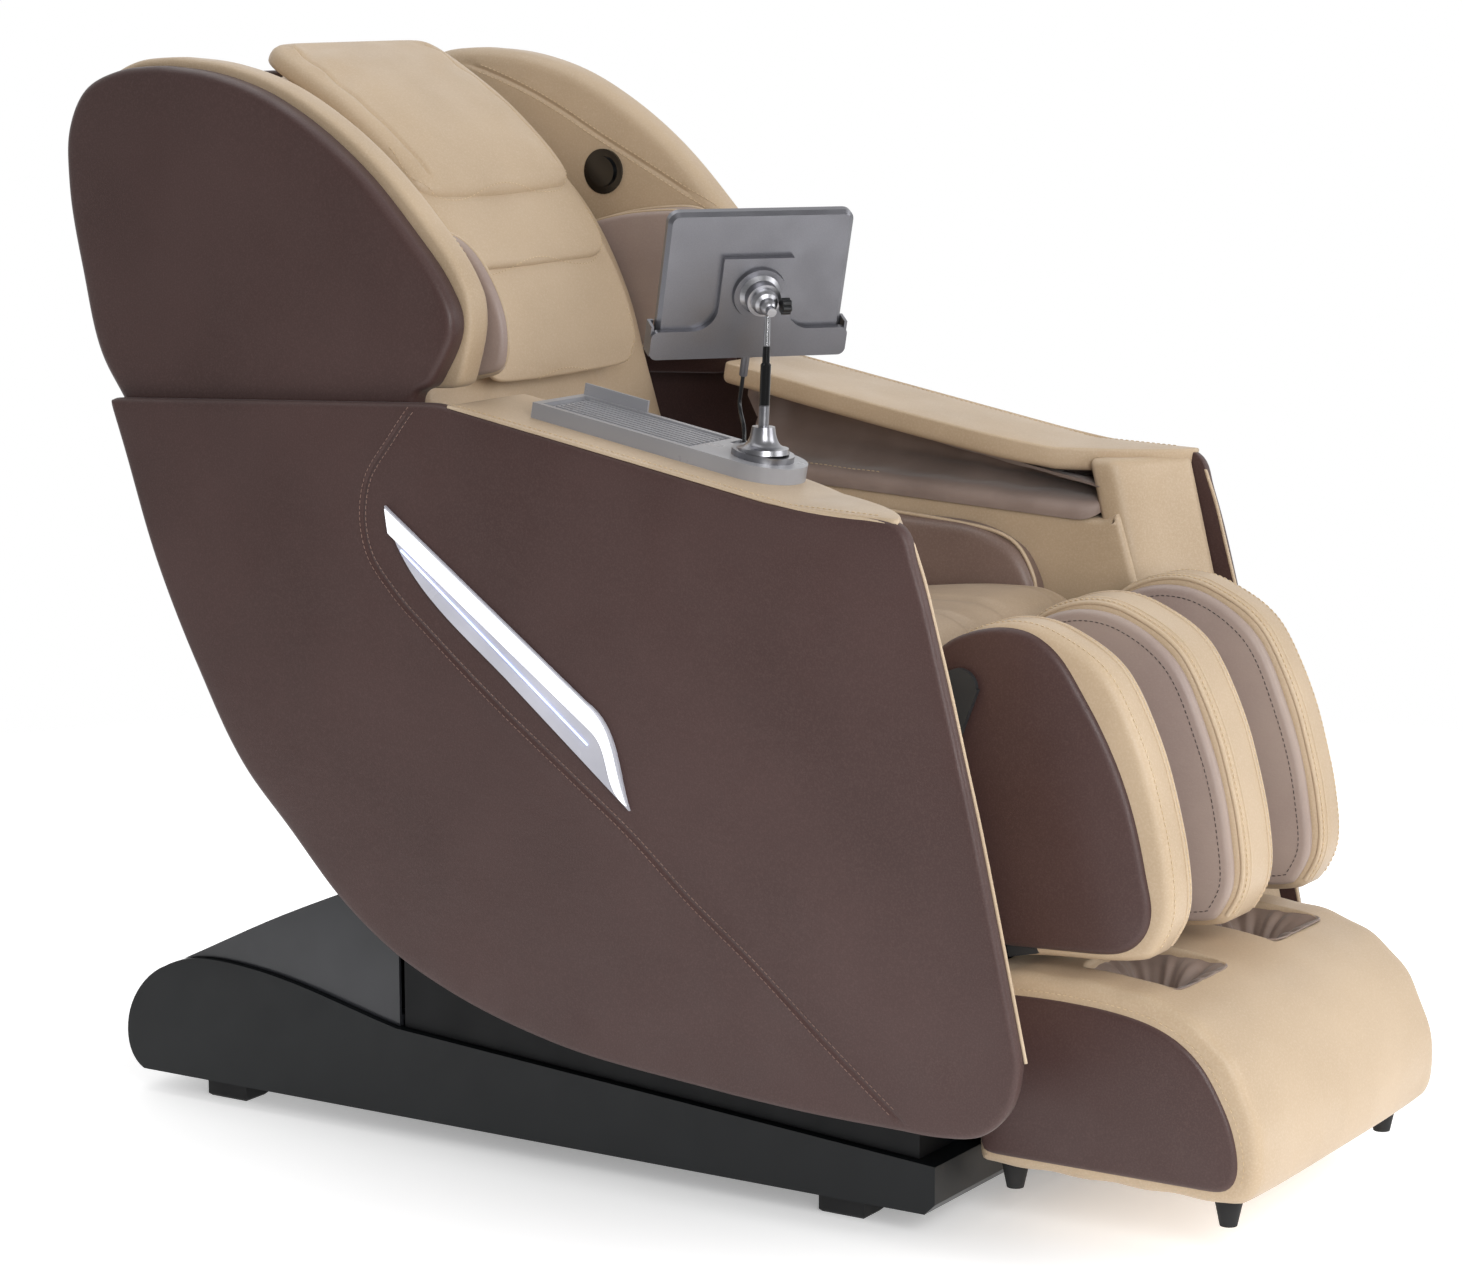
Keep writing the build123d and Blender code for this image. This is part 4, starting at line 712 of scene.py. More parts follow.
# %% [markdown]
# ## Wings
# The wings are brown shells outside and tan leather inside. They stand on the split
# line and curve over the sitter's head. Inside each wing a curved seam parts the cheek
# from the rim, and a taupe airbag presses on the shoulder.

# %% Wings
wing_line = edge_line(
    [(219, 846), (239, 844)], [(239, 844), (243, 806)], [(243, 806), (630, 791)],
    [(630, 791), (651, 822), (668, 846), (700, 954), (717, 1054), (715, 1109), (692, 1153), (641, 1176),
     (584, 1182)],
    [(584, 1182), (514, 1175), (445, 1156), (378, 1122), (312, 1074), (247, 1009), (208, 964), (189, 932)],
    [(189, 932), (187, 918), (219, 846)], soften=0.008)
lining_line = edge_line(
    [(197, 846), (640, 822)],
    [(640, 822), (658, 850), (690, 954), (705, 1054), (700, 1112), (684, 1158), (640, 1184), (584, 1191)],
    [(584, 1191), (512, 1185), (440, 1166), (372, 1132), (304, 1084), (238, 1020), (197, 972), (182, 944)],
    [(182, 944), (180, 918), (197, 846)], soften=0.008)
cheek_seam = smooth_run([(206, 966), (227, 997), (283, 1030), (340, 1060), (397, 1089), (455, 1120), (506, 1143),
                         (560, 1162), (620, 1178)])
for side, sign in SIDES:
    plane = side_plane(sign)
    shell = upholster(f"wing_shell_{side}_leather", wing_line, 306, 331.5, plane, 3, 9, dome_high=1.2,
                      dome_reach=110, face_shape=sag, finishes=[brown])
    dress(shell, f"wing_shell_{side}", "back")
    lining = upholster(f"wing_lining_{side}_leather", lining_line, 264, 305.4, plane, 16, 7, dome_low=7,
                       dome_reach=110, seams_low=[cheek_seam], finishes=[tan])
    dress(lining, "wing_linings", "back")
    inner = (plane[0], plane[1], plane[2], -plane[3])
    for gap, label in ((4.5, "upper"), (-4.5, "lower")):
        row = even(beside(cheek_seam, gap)[4:-8], 0.0065, closed=False)
        stitch_row(f"wing_stitches_{label}_{side}", laid_on(lining, inner, row, -0.10), thread_tan, "back")
print("wings done")

# %% [markdown]
# ## Shoulder airbags
# Two soft cells lie on each other like leaves inside each wing. Each is taupe leather
# edged with a tan cord.

# %% Shoulder airbags
cell_lines = [
    [(172, 862), (170, 910), (192, 962), (224, 998), (254, 1010)],
    [(254, 1010), (339, 1001), (404, 984)],
    [(404, 984), (424, 940), (404, 880), (366, 848)],
    [(366, 848), (270, 846), (172, 862)],
]
for side, sign in SIDES:
    plane = side_plane(sign)
    leaves = []
    for index, (low, high, shift) in enumerate(((246, 262, 0), (232, 246, 10))):
        line = edge_line(*[[(y + shift, z - shift * 0.4) for y, z in run] for run in cell_lines], soften=0.012)
        leaf = upholster(f"shoulder_cell_{side}_{index}", line, low, high, plane, 7, 7, dome_low=4,
                         dome_reach=60, finishes=[taupe])
        edge = line[::3]
        cord = piping(f"shoulder_piping_{side}_{index}",
                      [Vector((sign * (low + 6) * MM, u, v)) for u, v in edge], 2.0, tan, "back", closed=True)
        leaves.append(leaf)
    cells = join(f"shoulder_cells_{side}", leaves)
    dress(cells, "shoulder_airbags", "back")
print("shoulder airbags done")

# %% [markdown]
# ## Back pad and head pillow
# The back pad is a tan strip that follows the spine. Over its upper half hangs the
# pillow: a stuffed block on top, a flap under it, and a thin drape that ends in a
# stitched hem at the shoulder blades.

# %% Back pad and head pillow
back_line = edge_line(
    [(197, 580), (222, 640), (257, 702), (297, 815), (326, 908), (376, 998), (471, 1090), (592, 1166)],
    [(592, 1166), (610, 1142)], [(610, 1142), (512, 1064)], [(512, 1064), (252, 584)],
    [(252, 584), (197, 580)], soften=0.006)


def back_folds(line, normals, height):
    """Sew the back pad into three strips down the spine."""
    x = abs(height)
    return (-0.004 * np.exp(-((x - 0.105) / 0.005) ** 2) + 0.004 * (1 - (x / 0.226) ** 2)) * (line[:, 0] < 0.60)


back_pad = upholster("back_pad_leather", back_line, -226, 226, MIDDLE, 14, 14, wall=back_folds, finishes=[tan])
dress(back_pad, "back_pad", "back")

hang = smooth_run([(590, 1186), (528, 1152), (462, 1110), (412, 1068), (369, 1024), (326, 968), (294, 910),
                   (280, 868), (274, 826)], 0.004)
hang_reach = np.concatenate([[0], np.cumsum(np.linalg.norm(np.diff(hang, axis=0), axis=1))])


def on_back(u, v, w):
    """A place on the pillow's hanging line: across, down from its hem, and out."""
    y, z = np.interp(v, hang_reach, hang[:, 0]), np.interp(v, hang_reach, hang[:, 1])
    ahead = np.clip(v + 0.03, 0, hang_reach[-1])
    behind = np.clip(v - 0.03, 0, hang_reach[-1])
    down = np.column_stack([np.interp(ahead, hang_reach, hang[:, k]) - np.interp(behind, hang_reach, hang[:, k])
                            for k in (0, 1)])
    down /= np.linalg.norm(down, axis=1)[:, None]
    return np.column_stack([u, y + down[:, 1] * w, z - down[:, 0] * w])


def panel_of(half, top, foot, narrow=0.0):
    """A pillow panel's edge in plan: half its width, and how far down it reaches."""
    return edge_line([(-half, top), (half, top)], [(half, top), (half - narrow, foot)],
                     [(half - narrow, foot), (0, foot + 2), (-half + narrow, foot)],
                     [(-half + narrow, foot), (-half, top)], soften=0.026)


def pillow_waver(net, is_face):
    """Slack leather: soft folds near the top corners and along the sides."""
    x, v = net[:, 0], net[:, 1]
    near = np.exp(-((np.abs(x) - 0.115) / 0.03) ** 2) * np.exp(-(v - 0.05) / 0.09)
    return is_face * (0.0022 * near * np.sin(v * 120 + x * 60) + 0.0012 * np.sin(x * 26 + v * 18))


block_seams = [smooth_run([(s * 128, 18), (s * 131, 120), (s * 127, 262)]) for s in (-1, 1)]
pillow_block = upholster("pillow_block", panel_of(156, 4, 278, 5), 2, 27, on_back, 6, 15, dome_high=8,
                         dome_reach=80, seams=block_seams, seam_depth=3.2, face_shape=pillow_waver,
                         step=0.008, finishes=[tan])
pillow_flap = upholster("pillow_flap", panel_of(155, 190, 366, 4), 0.5, 14, on_back, 2, 7, dome_high=3,
                        dome_reach=50, face_shape=pillow_waver, step=0.008, finishes=[tan])
pillow_drape = upholster("pillow_drape", panel_of(156, 290, 494, 2), 0, 6, on_back, 1, 3, dome_high=2,
                         face_shape=pillow_waver, step=0.008, finishes=[tan])
head_pillow = join("head_pillow_leather", [pillow_block, pillow_flap, pillow_drape])
dress(head_pillow, "head_pillow", "pillow")
hems = {"block": (148, 268), "flap": (147, 359), "drape": (148, 486)}
for label, (half, foot) in hems.items():
    spots = even(smooth_run([(-half, foot - 60), (-half + 2, foot - 16), (-half + 14, foot), (0, foot + 2),
                             (half - 14, foot), (half - 2, foot - 16), (half, foot - 60)]), 0.0064, closed=False)
    tree = surface_of(head_pillow)
    laid = []
    for u, v in spots:
        start = Vector(on_back(np.array([u]), np.array([v]), np.array([0.08]))[0])
        end = Vector(on_back(np.array([u]), np.array([v]), np.array([0.0]))[0])
        place, normal, _, _ = tree.ray_cast(start, (end - start).normalized())
        if place is not None:
            laid.append((place, normal))
    stitch_row(f"pillow_stitches_{label}", laid, thread_tan, "pillow", radius=0.5)
print("back pad and pillow done")

# %% [markdown]
# ## Rear shell
# The back is closed by a brown leather-covered shell that bulges over the massage
# track.

# %% Rear shell
shell_line = edge_line(
    [(353, 507), (394, 548), (480, 664), (572, 800), (648, 905), (685, 990), (691, 1070), (667, 1136),
     (622, 1171)],
    [(622, 1171), (598, 1171)], [(598, 1171), (614, 1146), (638, 1095), (612, 1003), (552, 898)],
    [(552, 898), (348, 519)], [(348, 519), (353, 507)], soften=0.005)
rear_shell = upholster("rear_shell_leather", shell_line, -254, 254, MIDDLE, 12, 12, finishes=[brown])
dress(rear_shell, "back_cover", "back")
print("rear shell done")

# %% [markdown]
# ## Armrests
# Each armrest is built round the forearm slot: an upholstered block below, a padded
# top above, and a front end that joins them. In plan the front end falls back towards
# the seat, so the panel's edge stays the foremost line. It could be sculpted by hand,
# but a plan drawn once and run down the panel's slope keeps both sides alike. The slot
# is lined with taupe cells, and the hip cell is a dark cushion beside the seat.

# %% Armrests
TOP_THICK = 27  # the armrest's padded top, in millimetres
LEVEL_FROM = -0.235  # ahead of here the padded top runs out level
LEVEL_RISE = 0.15
FRONT_SLOPE = -0.2505  # how far the front edge comes forwards for each metre down


def arm_top(y):
    """Height of the armrest's top, in millimetres."""
    return 791.9 + (y + 40) * math.tan(math.radians(10.4))


def slot_floor(y):
    """Height of the slot's floor, in millimetres."""
    return 692.5 + 0.05 * y


for side, sign in SIDES:
    plane = side_plane(sign)
    block = edge_line([(150, 600), (150, slot_floor(150))], [(150, slot_floor(150)), (-300, slot_floor(-300))],
                      [(-300, slot_floor(-300)), (-314, 690)],
                      [(-314, 690), (-345, 585), (-378, 458), (-406, 339), (-434, 206)],
                      [(-434, 206), (-300, 206)], [(-300, 206), (-300, 437)], [(-300, 437), (150, 437)],
                      [(150, 437), (150, 600)], soften=0.005)
    lower = upholster(f"arm_block_{side}", block, 238.5, 299.6, plane, 9, 2, dome_low=2, finishes=[tan])
    hollow = edge_line([(184, 600), (184, arm_top(184) - TOP_THICK)],
                       [(184, arm_top(184) - TOP_THICK), (-300, 717)],
                       [(-300, 717), (-322, 690), (-322, 600)], [(-322, 600), (184, 600)], soften=0.003)
    rear_wall = upholster(f"arm_slot_wall_{side}", hollow, 318, 333, plane, 4, 2, finishes=[slot_cloth])
    top_plane = (tray_spot(0, 0, 0), tray_spot(0, 1, 0) - tray_spot(0, 0, 0), Vector((sign, 0, 0)),
                 tray_spot(0, 0, 1) - tray_spot(0, 0, 0))
    plan = edge_line([(228, 346), (228, 204)], [(228, 204), (-60, 206), (-130, 212), (-195, 230),
                                                (-240, 254), (-272, 275)],
                     [(-272, 275), (-302, 301), (-322, 326), (-331, 346)], [(-331, 346), (228, 346)],
                     soften=0.004)
    top = upholster(f"arm_top_{side}", plan, -26, 0, top_plane, 9, 3, dome_high=1.5, dome_reach=30, step=0.008,
                    finishes=[tan])
    for vertex in top.data.vertices:
        vertex.co.z += max(0.0, LEVEL_FROM - vertex.co.y) * LEVEL_RISE
    front_line = edge_line([(243, 71), (262, 56), (300, 35), (334, 13)], [(334, 13), (334, 72)],
                           [(334, 72), (243, 104)], [(243, 104), (243, 71)], soften=0.006)
    front_plane = (Vector((0, -0.389, 0.691)), Vector((sign, 0, 0)), Vector((0, 1, 0)),
                   Vector((0, FRONT_SLOPE, -1)))
    front = upholster(f"arm_front_{side}", front_line, -54, 472, front_plane, 9, 4, finishes=[tan])
    armrest = join(f"armrest_{side}_leather", [lower, rear_wall, top, front])
    dress(armrest, f"armrest_{side}", "seat")
    edge = [tray_spot(sign * 0.3462, along * MM, -0.0012) for along in range(226, -170, -24)]
    edge += [Vector((sign * 0.3462, y * MM, z * MM)) for y, z in
             ((-258, 752.5), (-300, 750), (-340, 748.5), (-362, 744))]
    edge += [Vector((sign * 0.3362, y * MM, z * MM)) for y, z in
             ((-374, 733), (-381, 714), (-390, 691), (-405, 636), (-420, 584), (-436, 520), (-453, 457),
              (-467, 398), (-481, 338), (-495, 277), (-509, 216))]
    piping(f"arm_piping_{side}", edge, 1.9, tan, "seat")
    row = even(np.array([(a * MM, 0.3385) for a in range(224, -310, -8)]), 0.0066, closed=False)
    stitch_row(f"arm_stitches_{side}", laid_on(armrest, top_plane, row, 0.2), thread_tan, "seat")
print("armrests done")

# %% [markdown]
# ## Forearm and hip cells
# One satin skin lines the slot. It swells like a sleeve at the bottom, climbs the back in
# long folds and comes forwards again under the armrest's top. A dotted seam runs along
# the sleeve.

# %% Forearm and hip cells


def slot_lining(name, sign):
    """Line the forearm slot: a sleeve below, the back, and a thinner cell above, in one skin."""
    stations = np.linspace(182, -298, 70)
    vertices = []
    for row, y in enumerate(stations):
        low, high = slot_floor(y), arm_top(y) - TOP_THICK
        gap = max(high - low, 6)
        shape = [(236, -4), (234.5, 7), (239, 15), (254, 19), (276, 21), (298, 24 + gap * 0.10), (313, gap * 0.5),
                 (316, gap * 0.62), (312, gap - 16), (298, gap - 9), (268, gap - 7), (240, gap - 6),
                 (226, gap + 1)]
        run = smooth_run([(x, low + min(z, gap * (0.30 + 0.05 * k)) if k < 6 else low + z)
                          for k, (x, z) in enumerate(shape)], 0.5)
        section = even(run, 0.0042, closed=False)
        section = np.column_stack([np.interp(np.linspace(0, 1, 44), np.linspace(0, 1, len(section)), section[:, k])
                                   for k in (0, 1)])
        share = np.linspace(0, 1, 44)
        fold = 0.0016 * np.sin(share * 21 + y * 0.012) + 0.0012 * np.sin(y * 0.09 + share * 9)
        section[:, 0] += fold * np.clip(np.sin(math.pi * share) * 1.4, 0, 1)
        section[:, 1] += fold * 0.7 * np.clip(np.sin(math.pi * share) * 1.4, 0, 1)
        ends = min(1.0, row / 4, (len(stations) - 1 - row) / 5)
        middle = section.mean(axis=0)
        section = middle + (section - middle) * math.sqrt(max(ends * (2 - ends), 0.0004))
        vertices += [(sign * x, y * MM, z) for x, z in section]
    faces = [(r * 44 + c, r * 44 + c + 1, (r + 1) * 44 + c + 1, (r + 1) * 44 + c)
             for r in range(len(stations) - 1) for c in range(43)]
    mesh = bpy.data.meshes.new(name)
    mesh.from_pydata(vertices, [], faces)
    mesh.materials.append(slot_cloth)
    mesh.polygons.foreach_set("use_smooth", [True] * len(mesh.polygons))
    lining = bpy.data.objects.new(name, mesh)
    scene.collection.objects.link(lining)
    return lining


for side, sign in SIDES:
    plane = side_plane(sign)
    sleeve = slot_lining(f"slot_lining_{side}", sign)
    hip_line = edge_line([(118, 541), (118, 674)], [(118, 674), (-60, 668), (-165, 658), (-204, 640)],
                         [(-204, 640), (-226, 598), (-226, 545)], [(-226, 545), (118, 541)], soften=0.012)
    hip = upholster(f"hip_cell_{side}", hip_line, 205, 237.5, plane, 14, 4, dome_low=5, dome_reach=60,
                    finishes=[hip_taupe])
    cells = join(f"side_cells_{side}", [sleeve, hip])
    dress(cells, "side_airbags", "seat")
    cord = [Vector((sign * 0.216, y * MM, z * MM)) for y, z in
            ((110, 676), (0, 673), (-70, 669), (-130, 664), (-170, 659), (-199, 648), (-216, 624), (-227, 596),
             (-228, 548))]
    piping(f"hip_piping_{side}", cord, 2.2, tan, "seat")
    row = even(smooth_run([(140, 714.5), (0, 704.5), (-200, 693.6), (-256, 689.6)]), 0.0064, closed=False)
    tree = surface_of(cells)
    seam = []
    for u, v in row:
        place, normal, _, _ = tree.ray_cast(Vector((sign * 0.246, u, v + 0.06)), Vector((0, 0, -1)))
        if place is not None:
            seam.append((place, normal if normal.z > 0 else -normal))
    stitch_row(f"slot_stitches_{side}", seam, thread_tan, "seat")
print("forearm and hip cells done")

# %% [markdown]
# ## Seat cushion
# The seat is a thick cushion with a rounded knee end. Sewn lines part its two thigh
# tracks from the middle.

# %% Seat cushion
seat_line = edge_line(
    [(164, 437), (-250, 437)], [(-250, 437), (-292, 462), (-298, 520), (-297, 560), (-284, 594), (-250, 608)],
    [(-250, 608), (-180, 606), (-60, 590), (60, 566), (160, 540)], [(160, 540), (164, 437)], soften=0.010)


def seat_tracks(line, normals, height):
    """Two thigh tracks, parted by sewn lines, on the seat's upper side."""
    x = abs(height)
    upper = np.clip(normals[:, 1] + 0.3, 0, 1)
    return upper * (-0.006 * math.exp(-((x - 0.045) / 0.006) ** 2) - 0.004 * math.exp(-((x - 0.165) / 0.006) ** 2)
                    + 0.003 * math.cos((x - 0.10) * 24)) - 0.004 * (x / 0.203) ** 6


# The seat wears the darker copy of the tan leather: painted shade.
seat = upholster("seat_cushion_leather", seat_line, -203, 203, MIDDLE, 16, 16, wall=seat_tracks,
                 finishes=[shaded_seat_tan])
dress(seat, "seat_cushion", "seat")
print("seat cushion done")

# %% [markdown]
# ## Leg rest
# Two calf wells lie between three padded walls. Each wall is a full, round crown of
# tan leather with two sewn lines and piping along its ridge. The airbags that squeeze
# the calves are taupe pads on the walls' inner sides.

# %% Leg rest


def leg_spot(up, out):
    """A place on the leg rest in millimetres: up its line from the knee, and out of it."""
    lean = math.radians(12.92)
    return (-372 + up * math.sin(lean) - out * math.cos(lean), 566 + up * math.cos(lean) + out * math.sin(lean))


def leg_line(grow=0.0, soften=0.006):
    """A leg rest wall from the side, grown outwards in millimetres on its front."""
    front = [(-328, 578), (-355, 612), (-388, 629), (-421, 635), (-455, 632), (-487, 620), (-527, 592),
             (-573, 507), (-600, 408), (-603, 340), (-584, 304)]
    middle = (-440, 430)
    grown = []
    for y, z in front:
        away = math.hypot(y - middle[0], z - middle[1])
        grown.append((y + (y - middle[0]) / away * grow, z + (z - middle[1]) / away * grow))
    return edge_line([leg_spot(-283, -8), leg_spot(-40, -8)], [leg_spot(-40, -8), grown[0]], grown,
                     [grown[-1], (-560, 299)], [(-560, 299), leg_spot(-283, -8)], soften=soften)


def crowned(line, normals, height):
    """Nothing but a slow waver, so that the wall's leather looks pulled by hand."""
    return 0.0007 * np.sin(line[:, 0] * 55 + line[:, 1] * 40)


leg_pieces = []
for side, sign in SIDES:
    plane = side_plane(sign)
    outer_wall = upholster(f"leg_wall_{side}", leg_line(), 159, 213, plane, 12, 11, wall=crowned, finishes=[tan])
    leg_pieces.append(outer_wall)
    floor_line = edge_line([leg_spot(-283, 27), leg_spot(14, 27)], [leg_spot(14, 27), leg_spot(14, 57)],
                           [leg_spot(14, 57), leg_spot(-120, 62), leg_spot(-283, 57)],
                           [leg_spot(-283, 57), leg_spot(-283, 27)], soften=0.006)
    leg_pieces.append(upholster(f"leg_floor_{side}", floor_line, 38, 159, plane, 3, 3, finishes=[taupe]))
middle_wall = upholster("leg_wall_middle", leg_line(), -38, 38, MIDDLE, 13, 13, wall=crowned, finishes=[tan])
leg_pieces.append(middle_wall)
trough = join("leg_trough_leather", leg_pieces)
dress(trough, "leg_trough", "leg")

pad_line = leg_line()
pad_line = even(pad_line - outward(pad_line) * 0.009, 0.006)
for side, sign in SIDES:
    plane = side_plane(sign)
    pads = []
    for low, high, domes in ((38.3, 54, (0, 6)), (142, 158.6, (6, 0))):
        pads.append(upholster(f"calf_pad_{side}_{low:.0f}", pad_line, low, high, plane, 7, 7, dome_low=domes[0],
                              dome_high=domes[1], dome_reach=70, finishes=[taupe]))
    calf = join(f"calf_pads_{side}", pads)
    dress(calf, "calf_airbags", "leg")
    border = even(pad_line - outward(pad_line) * 0.011, 0.0064)
    border = border[(border[:, 0] < -0.36) & (border[:, 0] + border[:, 1] * 0.23 < -0.255)]
    for start, toward, label in ((0.100, -1, "inner"), (0.100, 1, "outer")):
        tree = surface_of(calf)
        laid = []
        for u, v in border:
            place, normal, _, _ = tree.ray_cast(Vector((sign * start, u, v)), Vector((sign * toward, 0, 0)))
            if place is not None:
                laid.append((place, normal))
        stitch_row(f"calf_stitches_{label}_{side}", laid, thread_dark, "leg", radius=0.6)


def over_wall(x, step):
    """Places on the leg rest's walls under a line that follows their crown at one x."""
    line = even(smooth_run([(-338, 592), (-355, 612), (-388, 629), (-421, 635), (-455, 632), (-487, 620),
                            (-527, 592), (-573, 507), (-600, 408), (-603, 345), (-590, 312)]), step, closed=False)
    along = np.gradient(line, axis=0)
    along /= np.linalg.norm(along, axis=1)[:, None]
    tree = surface_of(trough)
    found = []
    for (u, v), (du, dv) in zip(line, along):
        away = Vector((0, -dv, du))
        if away.dot(Vector((0, u + 0.44, v - 0.43))) < 0:
            away = -away
        place, normal, _, _ = tree.ray_cast(Vector((x, u, v)) + away * 0.05, -away, 0.09)
        if place is not None:
            found.append((place, normal))
    return found


for x in (-0.2035, 0.2035, -0.166, 0.166, -0.0300, 0.0300):
    stitch_row(f"wall_stitches_{x * 1000:.0f}", over_wall(x, 0.0064), thread_tan, "leg", radius=0.6)
for x, radius in ((-0.1735, 1.5), (0.1735, 1.5), (-0.0225, 1.5), (0.0225, 1.5),
                  (-0.1625, 2.6), (0.1625, 2.6), (-0.0345, 2.6), (0.0345, 2.6)):
    cord = piping(f"wall_piping_{x * 1000:.1f}", [place for place, _ in over_wall(x, 0.014)], radius, tan, "leg")

cover_line = edge_line(
    [(-332, 598), (-356, 614), (-386, 625), (-416, 630), (-442, 628), (-466, 616), (-506, 566), (-553, 479),
     (-578, 390), (-585, 345), (-576, 324), (-556, 308), (-530, 303)],
    [(-530, 303), (-405, 298)], [(-405, 298), (-332, 598)], soften=0.010)
for side, sign in SIDES:
    plane = side_plane(sign)
    cover = upholster(f"leg_cover_{side}", cover_line, 205, 219, plane, 2, 9, dome_high=6, dome_reach=70,
                      finishes=[brown])
    dress(cover, "leg_covers", "leg")
print("leg rest done")

# %% [markdown]
# ## Foot rest
# The foot rest is one tan leather wrap over a box with a round toe end, and brown
# leather on its two sides. Two openings let the feet in. Gathered cloth lines them.

# %% Foot rest
foot_line = edge_line(
    [(-693, 66.5), (-396, 66.5)], [(-396, 66.5), (-396, 276)],
    [(-396, 276), (-494, 279), (-560, 276), (-600, 269), (-640, 253), (-661, 239), (-690, 206), (-706, 172),
     (-716, 134), (-717, 104), (-710, 80), (-693, 66.5)], soften=0.007)


def foot_wrinkles(line, normals, height):
    """Slight puckers across the wrap, strongest near the sides."""
    near_side = (abs(height) / 0.229) ** 4
    return near_side * 0.0011 * np.sin(line[:, 0] * 90 + line[:, 1] * 60) - 0.002 * near_side


foot_wrap = upholster("foot_wrap", foot_line, -229, 229, MIDDLE, 12, 12, wall=foot_wrinkles, finishes=[tan])


def well_cutter(name, sign):
    """A rounded box that cuts a foot opening."""
    line = edge_line([(-600, 56), (-486, 56)], [(-486, 56), (-486, 181)], [(-486, 181), (-600, 181)],
                     [(-600, 181), (-600, 56)], soften=0.013)
    floor = (Vector((0, 0, 0)), Vector((0, 1, 0)), Vector((sign, 0, 0)), Vector((0, 0, 1)))
    return upholster(name, line, 100, 330, floor, 2, 2)


for side, sign in SIDES:
    cutter = well_cutter(f"well_cutter_{side}", sign)
    cut = foot_wrap.modifiers.new("well", "BOOLEAN")
    cut.object = cutter
    cut.operation = "DIFFERENCE"
    cut.solver = "EXACT"
    with bpy.context.temp_override(object=foot_wrap, active_object=foot_wrap):
        bpy.ops.object.modifier_apply(modifier=cut.name)
    bpy.data.objects.remove(cutter)
dress(foot_wrap, "footrest_body", "foot")

foot_cover_line = edge_line(
    [(-401, 80), (-401, 252)], [(-401, 252), (-500, 254), (-560, 250), (-592, 244), (-624, 231), (-650, 210),
                               (-670, 180), (-684, 152), (-692, 120), (-692, 96), (-680, 80)],
    [(-680, 80), (-401, 80)], soften=0.010)
for side, sign in SIDES:
    plane = side_plane(sign)
    cover = upholster(f"foot_cover_{side}", foot_cover_line, 224, 233, plane, 2, 7, dome_high=4, dome_reach=70,
                      finishes=[brown])
    dress(cover, "footrest_covers", "foot")
    border = even(foot_cover_line - outward(foot_cover_line) * -0.006, 0.0068)
    border = border[(border[:, 1] > 0.084) & (border[:, 0] < -0.405)]
    stitch_row(f"foot_stitches_{side}", laid_on(foot_wrap, plane, border), thread_tan, "foot")
print("foot rest done")

# %% [markdown]
# ## Gathered cloth in the foot openings
# The cloth is bunched, because it has to stretch round a foot. Its folds run from the
# opening's rim down into the dark.

# %% Gathered cloth in the foot openings
for side, sign in SIDES:
    rim = edge_line([(-602, 54), (-484, 54)], [(-484, 54), (-484, 183)], [(-484, 183), (-602, 183)],
                    [(-602, 183), (-602, 54)], soften=0.013, step=0.0025)
    centre = rim.mean(axis=0)
    count = len(rim)
    angles = np.arctan2(rim[:, 1] - centre[1], rim[:, 0] - centre[0])
    rows = 30
    vertices = []
    for k in range(rows):
        share = k / (rows - 1)
        for (y, x), angle in zip(rim, angles):
            fold = (math.sin(angle * 13 + 1.7 * share) + 0.6 * math.sin(angle * 23 + 2.0 + share)
                    + 0.5 * math.sin(angle * 7 + 5 * share)) * share ** 0.6
            pull = 1 - 0.80 * share + 0.035 * math.sin(angle * 5 + 3 * share) * share
            z = 0.2700 - 0.020 * share - 0.062 * share ** 3 + 0.0046 * fold * (1 - 0.5 * share)
            vertices.append((sign * (centre[1] + (x - centre[1]) * pull), centre[0] + (y - centre[0]) * pull, z))
    faces = [(k * count + i, k * count + (i + 1) % count, (k + 1) * count + (i + 1) % count, (k + 1) * count + i)
             for k in range(rows - 1) for i in range(count)]
    mesh = bpy.data.meshes.new(f"foot_gather_{side}")
    mesh.from_pydata(vertices, [], faces)
    mesh.materials.append(pad_cloth)
    mesh.polygons.foreach_set("use_smooth", [True] * len(mesh.polygons))
    gather = bpy.data.objects.new(f"foot_gather_{side}", mesh)
    scene.collection.objects.link(gather)
    thick = gather.modifiers.new("thick", "SOLIDIFY")
    thick.thickness = 0.0015
    dress(gather, "foot_airbags", "foot")
print("foot openings lined")

# %% [markdown]
# ## Finishes for the hard parts
# The frame's own plastic and metal parts keep their shape and only get a finish.

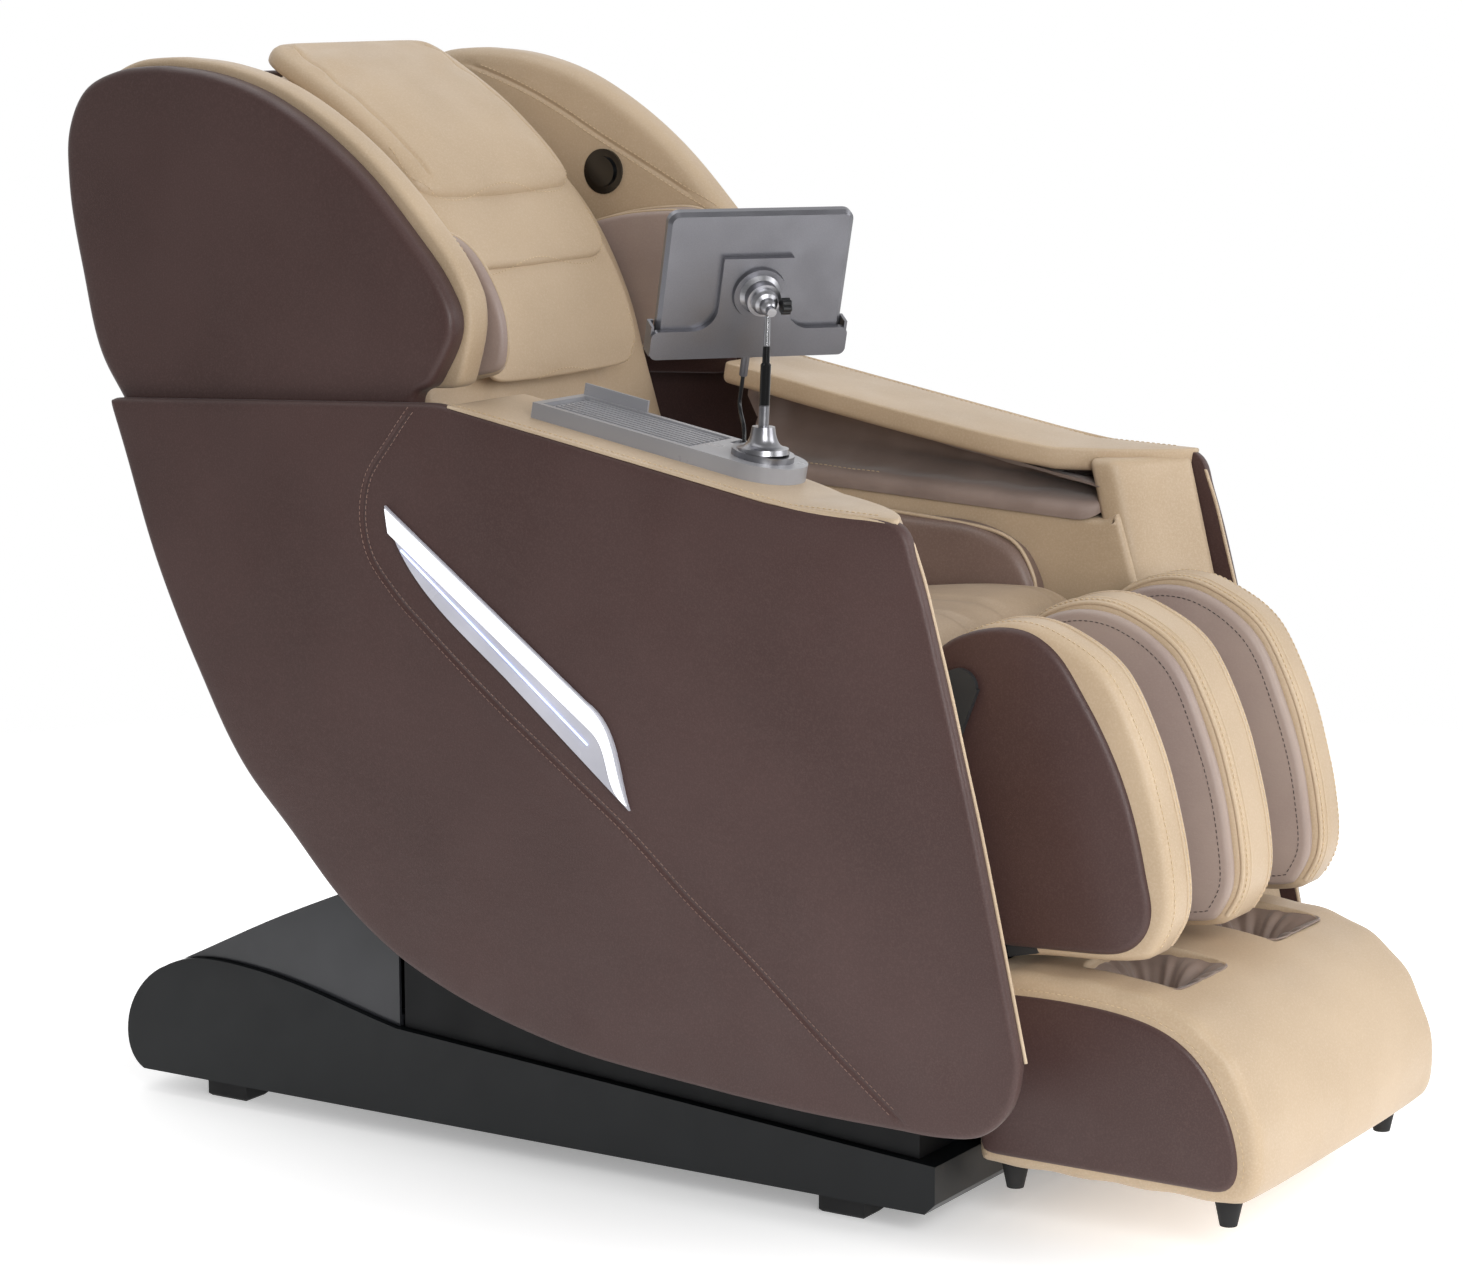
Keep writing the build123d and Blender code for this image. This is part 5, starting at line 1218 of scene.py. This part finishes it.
# %% Finishes for the hard parts
hard_finishes = {
    base_plastic: ["base_cover"],
    riser_plastic: ["riser_cover"],
    hood_plastic: ["rear_cover"],
    steel: ["slide_rails", "slide_motor_rod", "tilt_motor_rod", "tilt_shaft", "recline_motor_rod",
            "leg_motor_rod", "foot_slide_rods"],
    frame_paint: ["base_frame", "carriage", "seat_frame", "back_frame", "leg_frame", "massage_arm_left",
                  "massage_arm_right"],
    motor_metal: ["power_supply", "slide_motor", "tilt_motor", "recline_motor", "leg_motor", "massage_carriage"],
    black_plastic: ["power_inlet", "power_switch", "air_pump", "clamp_knob", "tablet_lead"],
    gloss_black: ["speakers"],
    rubber: ["base_feet", "footrest_feet", "sole_rollers", "massage_roller_left", "massage_roller_right"],
    silver_plastic: ["control_tray"],
    tablet_silver: ["tablet", "tablet_holder"],
    satin_silver: ["tilt_head"],
    stand_finish: ["tablet_stand"],
    trim_silver: ["light_trims"],
    lit_white: ["light_diffusers"],
}
for finish, names in hard_finishes.items():
    for name in names:
        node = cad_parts[name]
        if not node.data.materials:
            node.data.materials.append(finish)
        for index in range(len(node.data.materials)):
            node.material_slots[index].link = "OBJECT"
            node.material_slots[index].material = finish

lead.data.materials.append(black_plastic)
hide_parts("tablet_lead")
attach(lead, "seat")
print(sum(len(n) for n in hard_finishes.values()), "frame parts finished")

# %% [markdown]
# ## Studio floor
# A pale floor that fades into the white backdrop, and glows more further from the chair: painted light.

# %% Studio floor
floor_mesh = bpy.data.meshes.new("studio_floor")
floor_mesh.from_pydata([(-9, -9, 0), (9, -9, 0), (9, 9, 0), (-9, 9, 0)], [], [(0, 1, 2, 3)])
floor = bpy.data.objects.new("studio_floor", floor_mesh)
scene.collection.objects.link(floor)
paper = Finish("paper")
paper.link(paper.mix(paper.span(paper.noise(2, 2), 0.3, 0.7), tone("#f4f4f4"), tone("#fafafa")),
           paper.shader.inputs["Base Color"])
paper.shader.inputs["Roughness"].default_value = 0.9
reach = paper.node("ShaderNodeVectorMath", operation="LENGTH")
paper.link(paper.place, reach.inputs[0])
paper.link(paper.span(reach.outputs["Value"], 1.2, 2.6, 1, 0), paper.shader.inputs["Alpha"])
# Painted light: the floor glows faintly near the chair and more strongly further out.
paper.link(paper.span(reach.outputs["Value"], 0.3, 1.6, 0.30, 0.75), paper.shader.inputs["Emission Strength"])
paper.shader.inputs["Emission Color"].default_value = (1, 1, 1, 1)
floor_mesh.materials.append(paper.material)
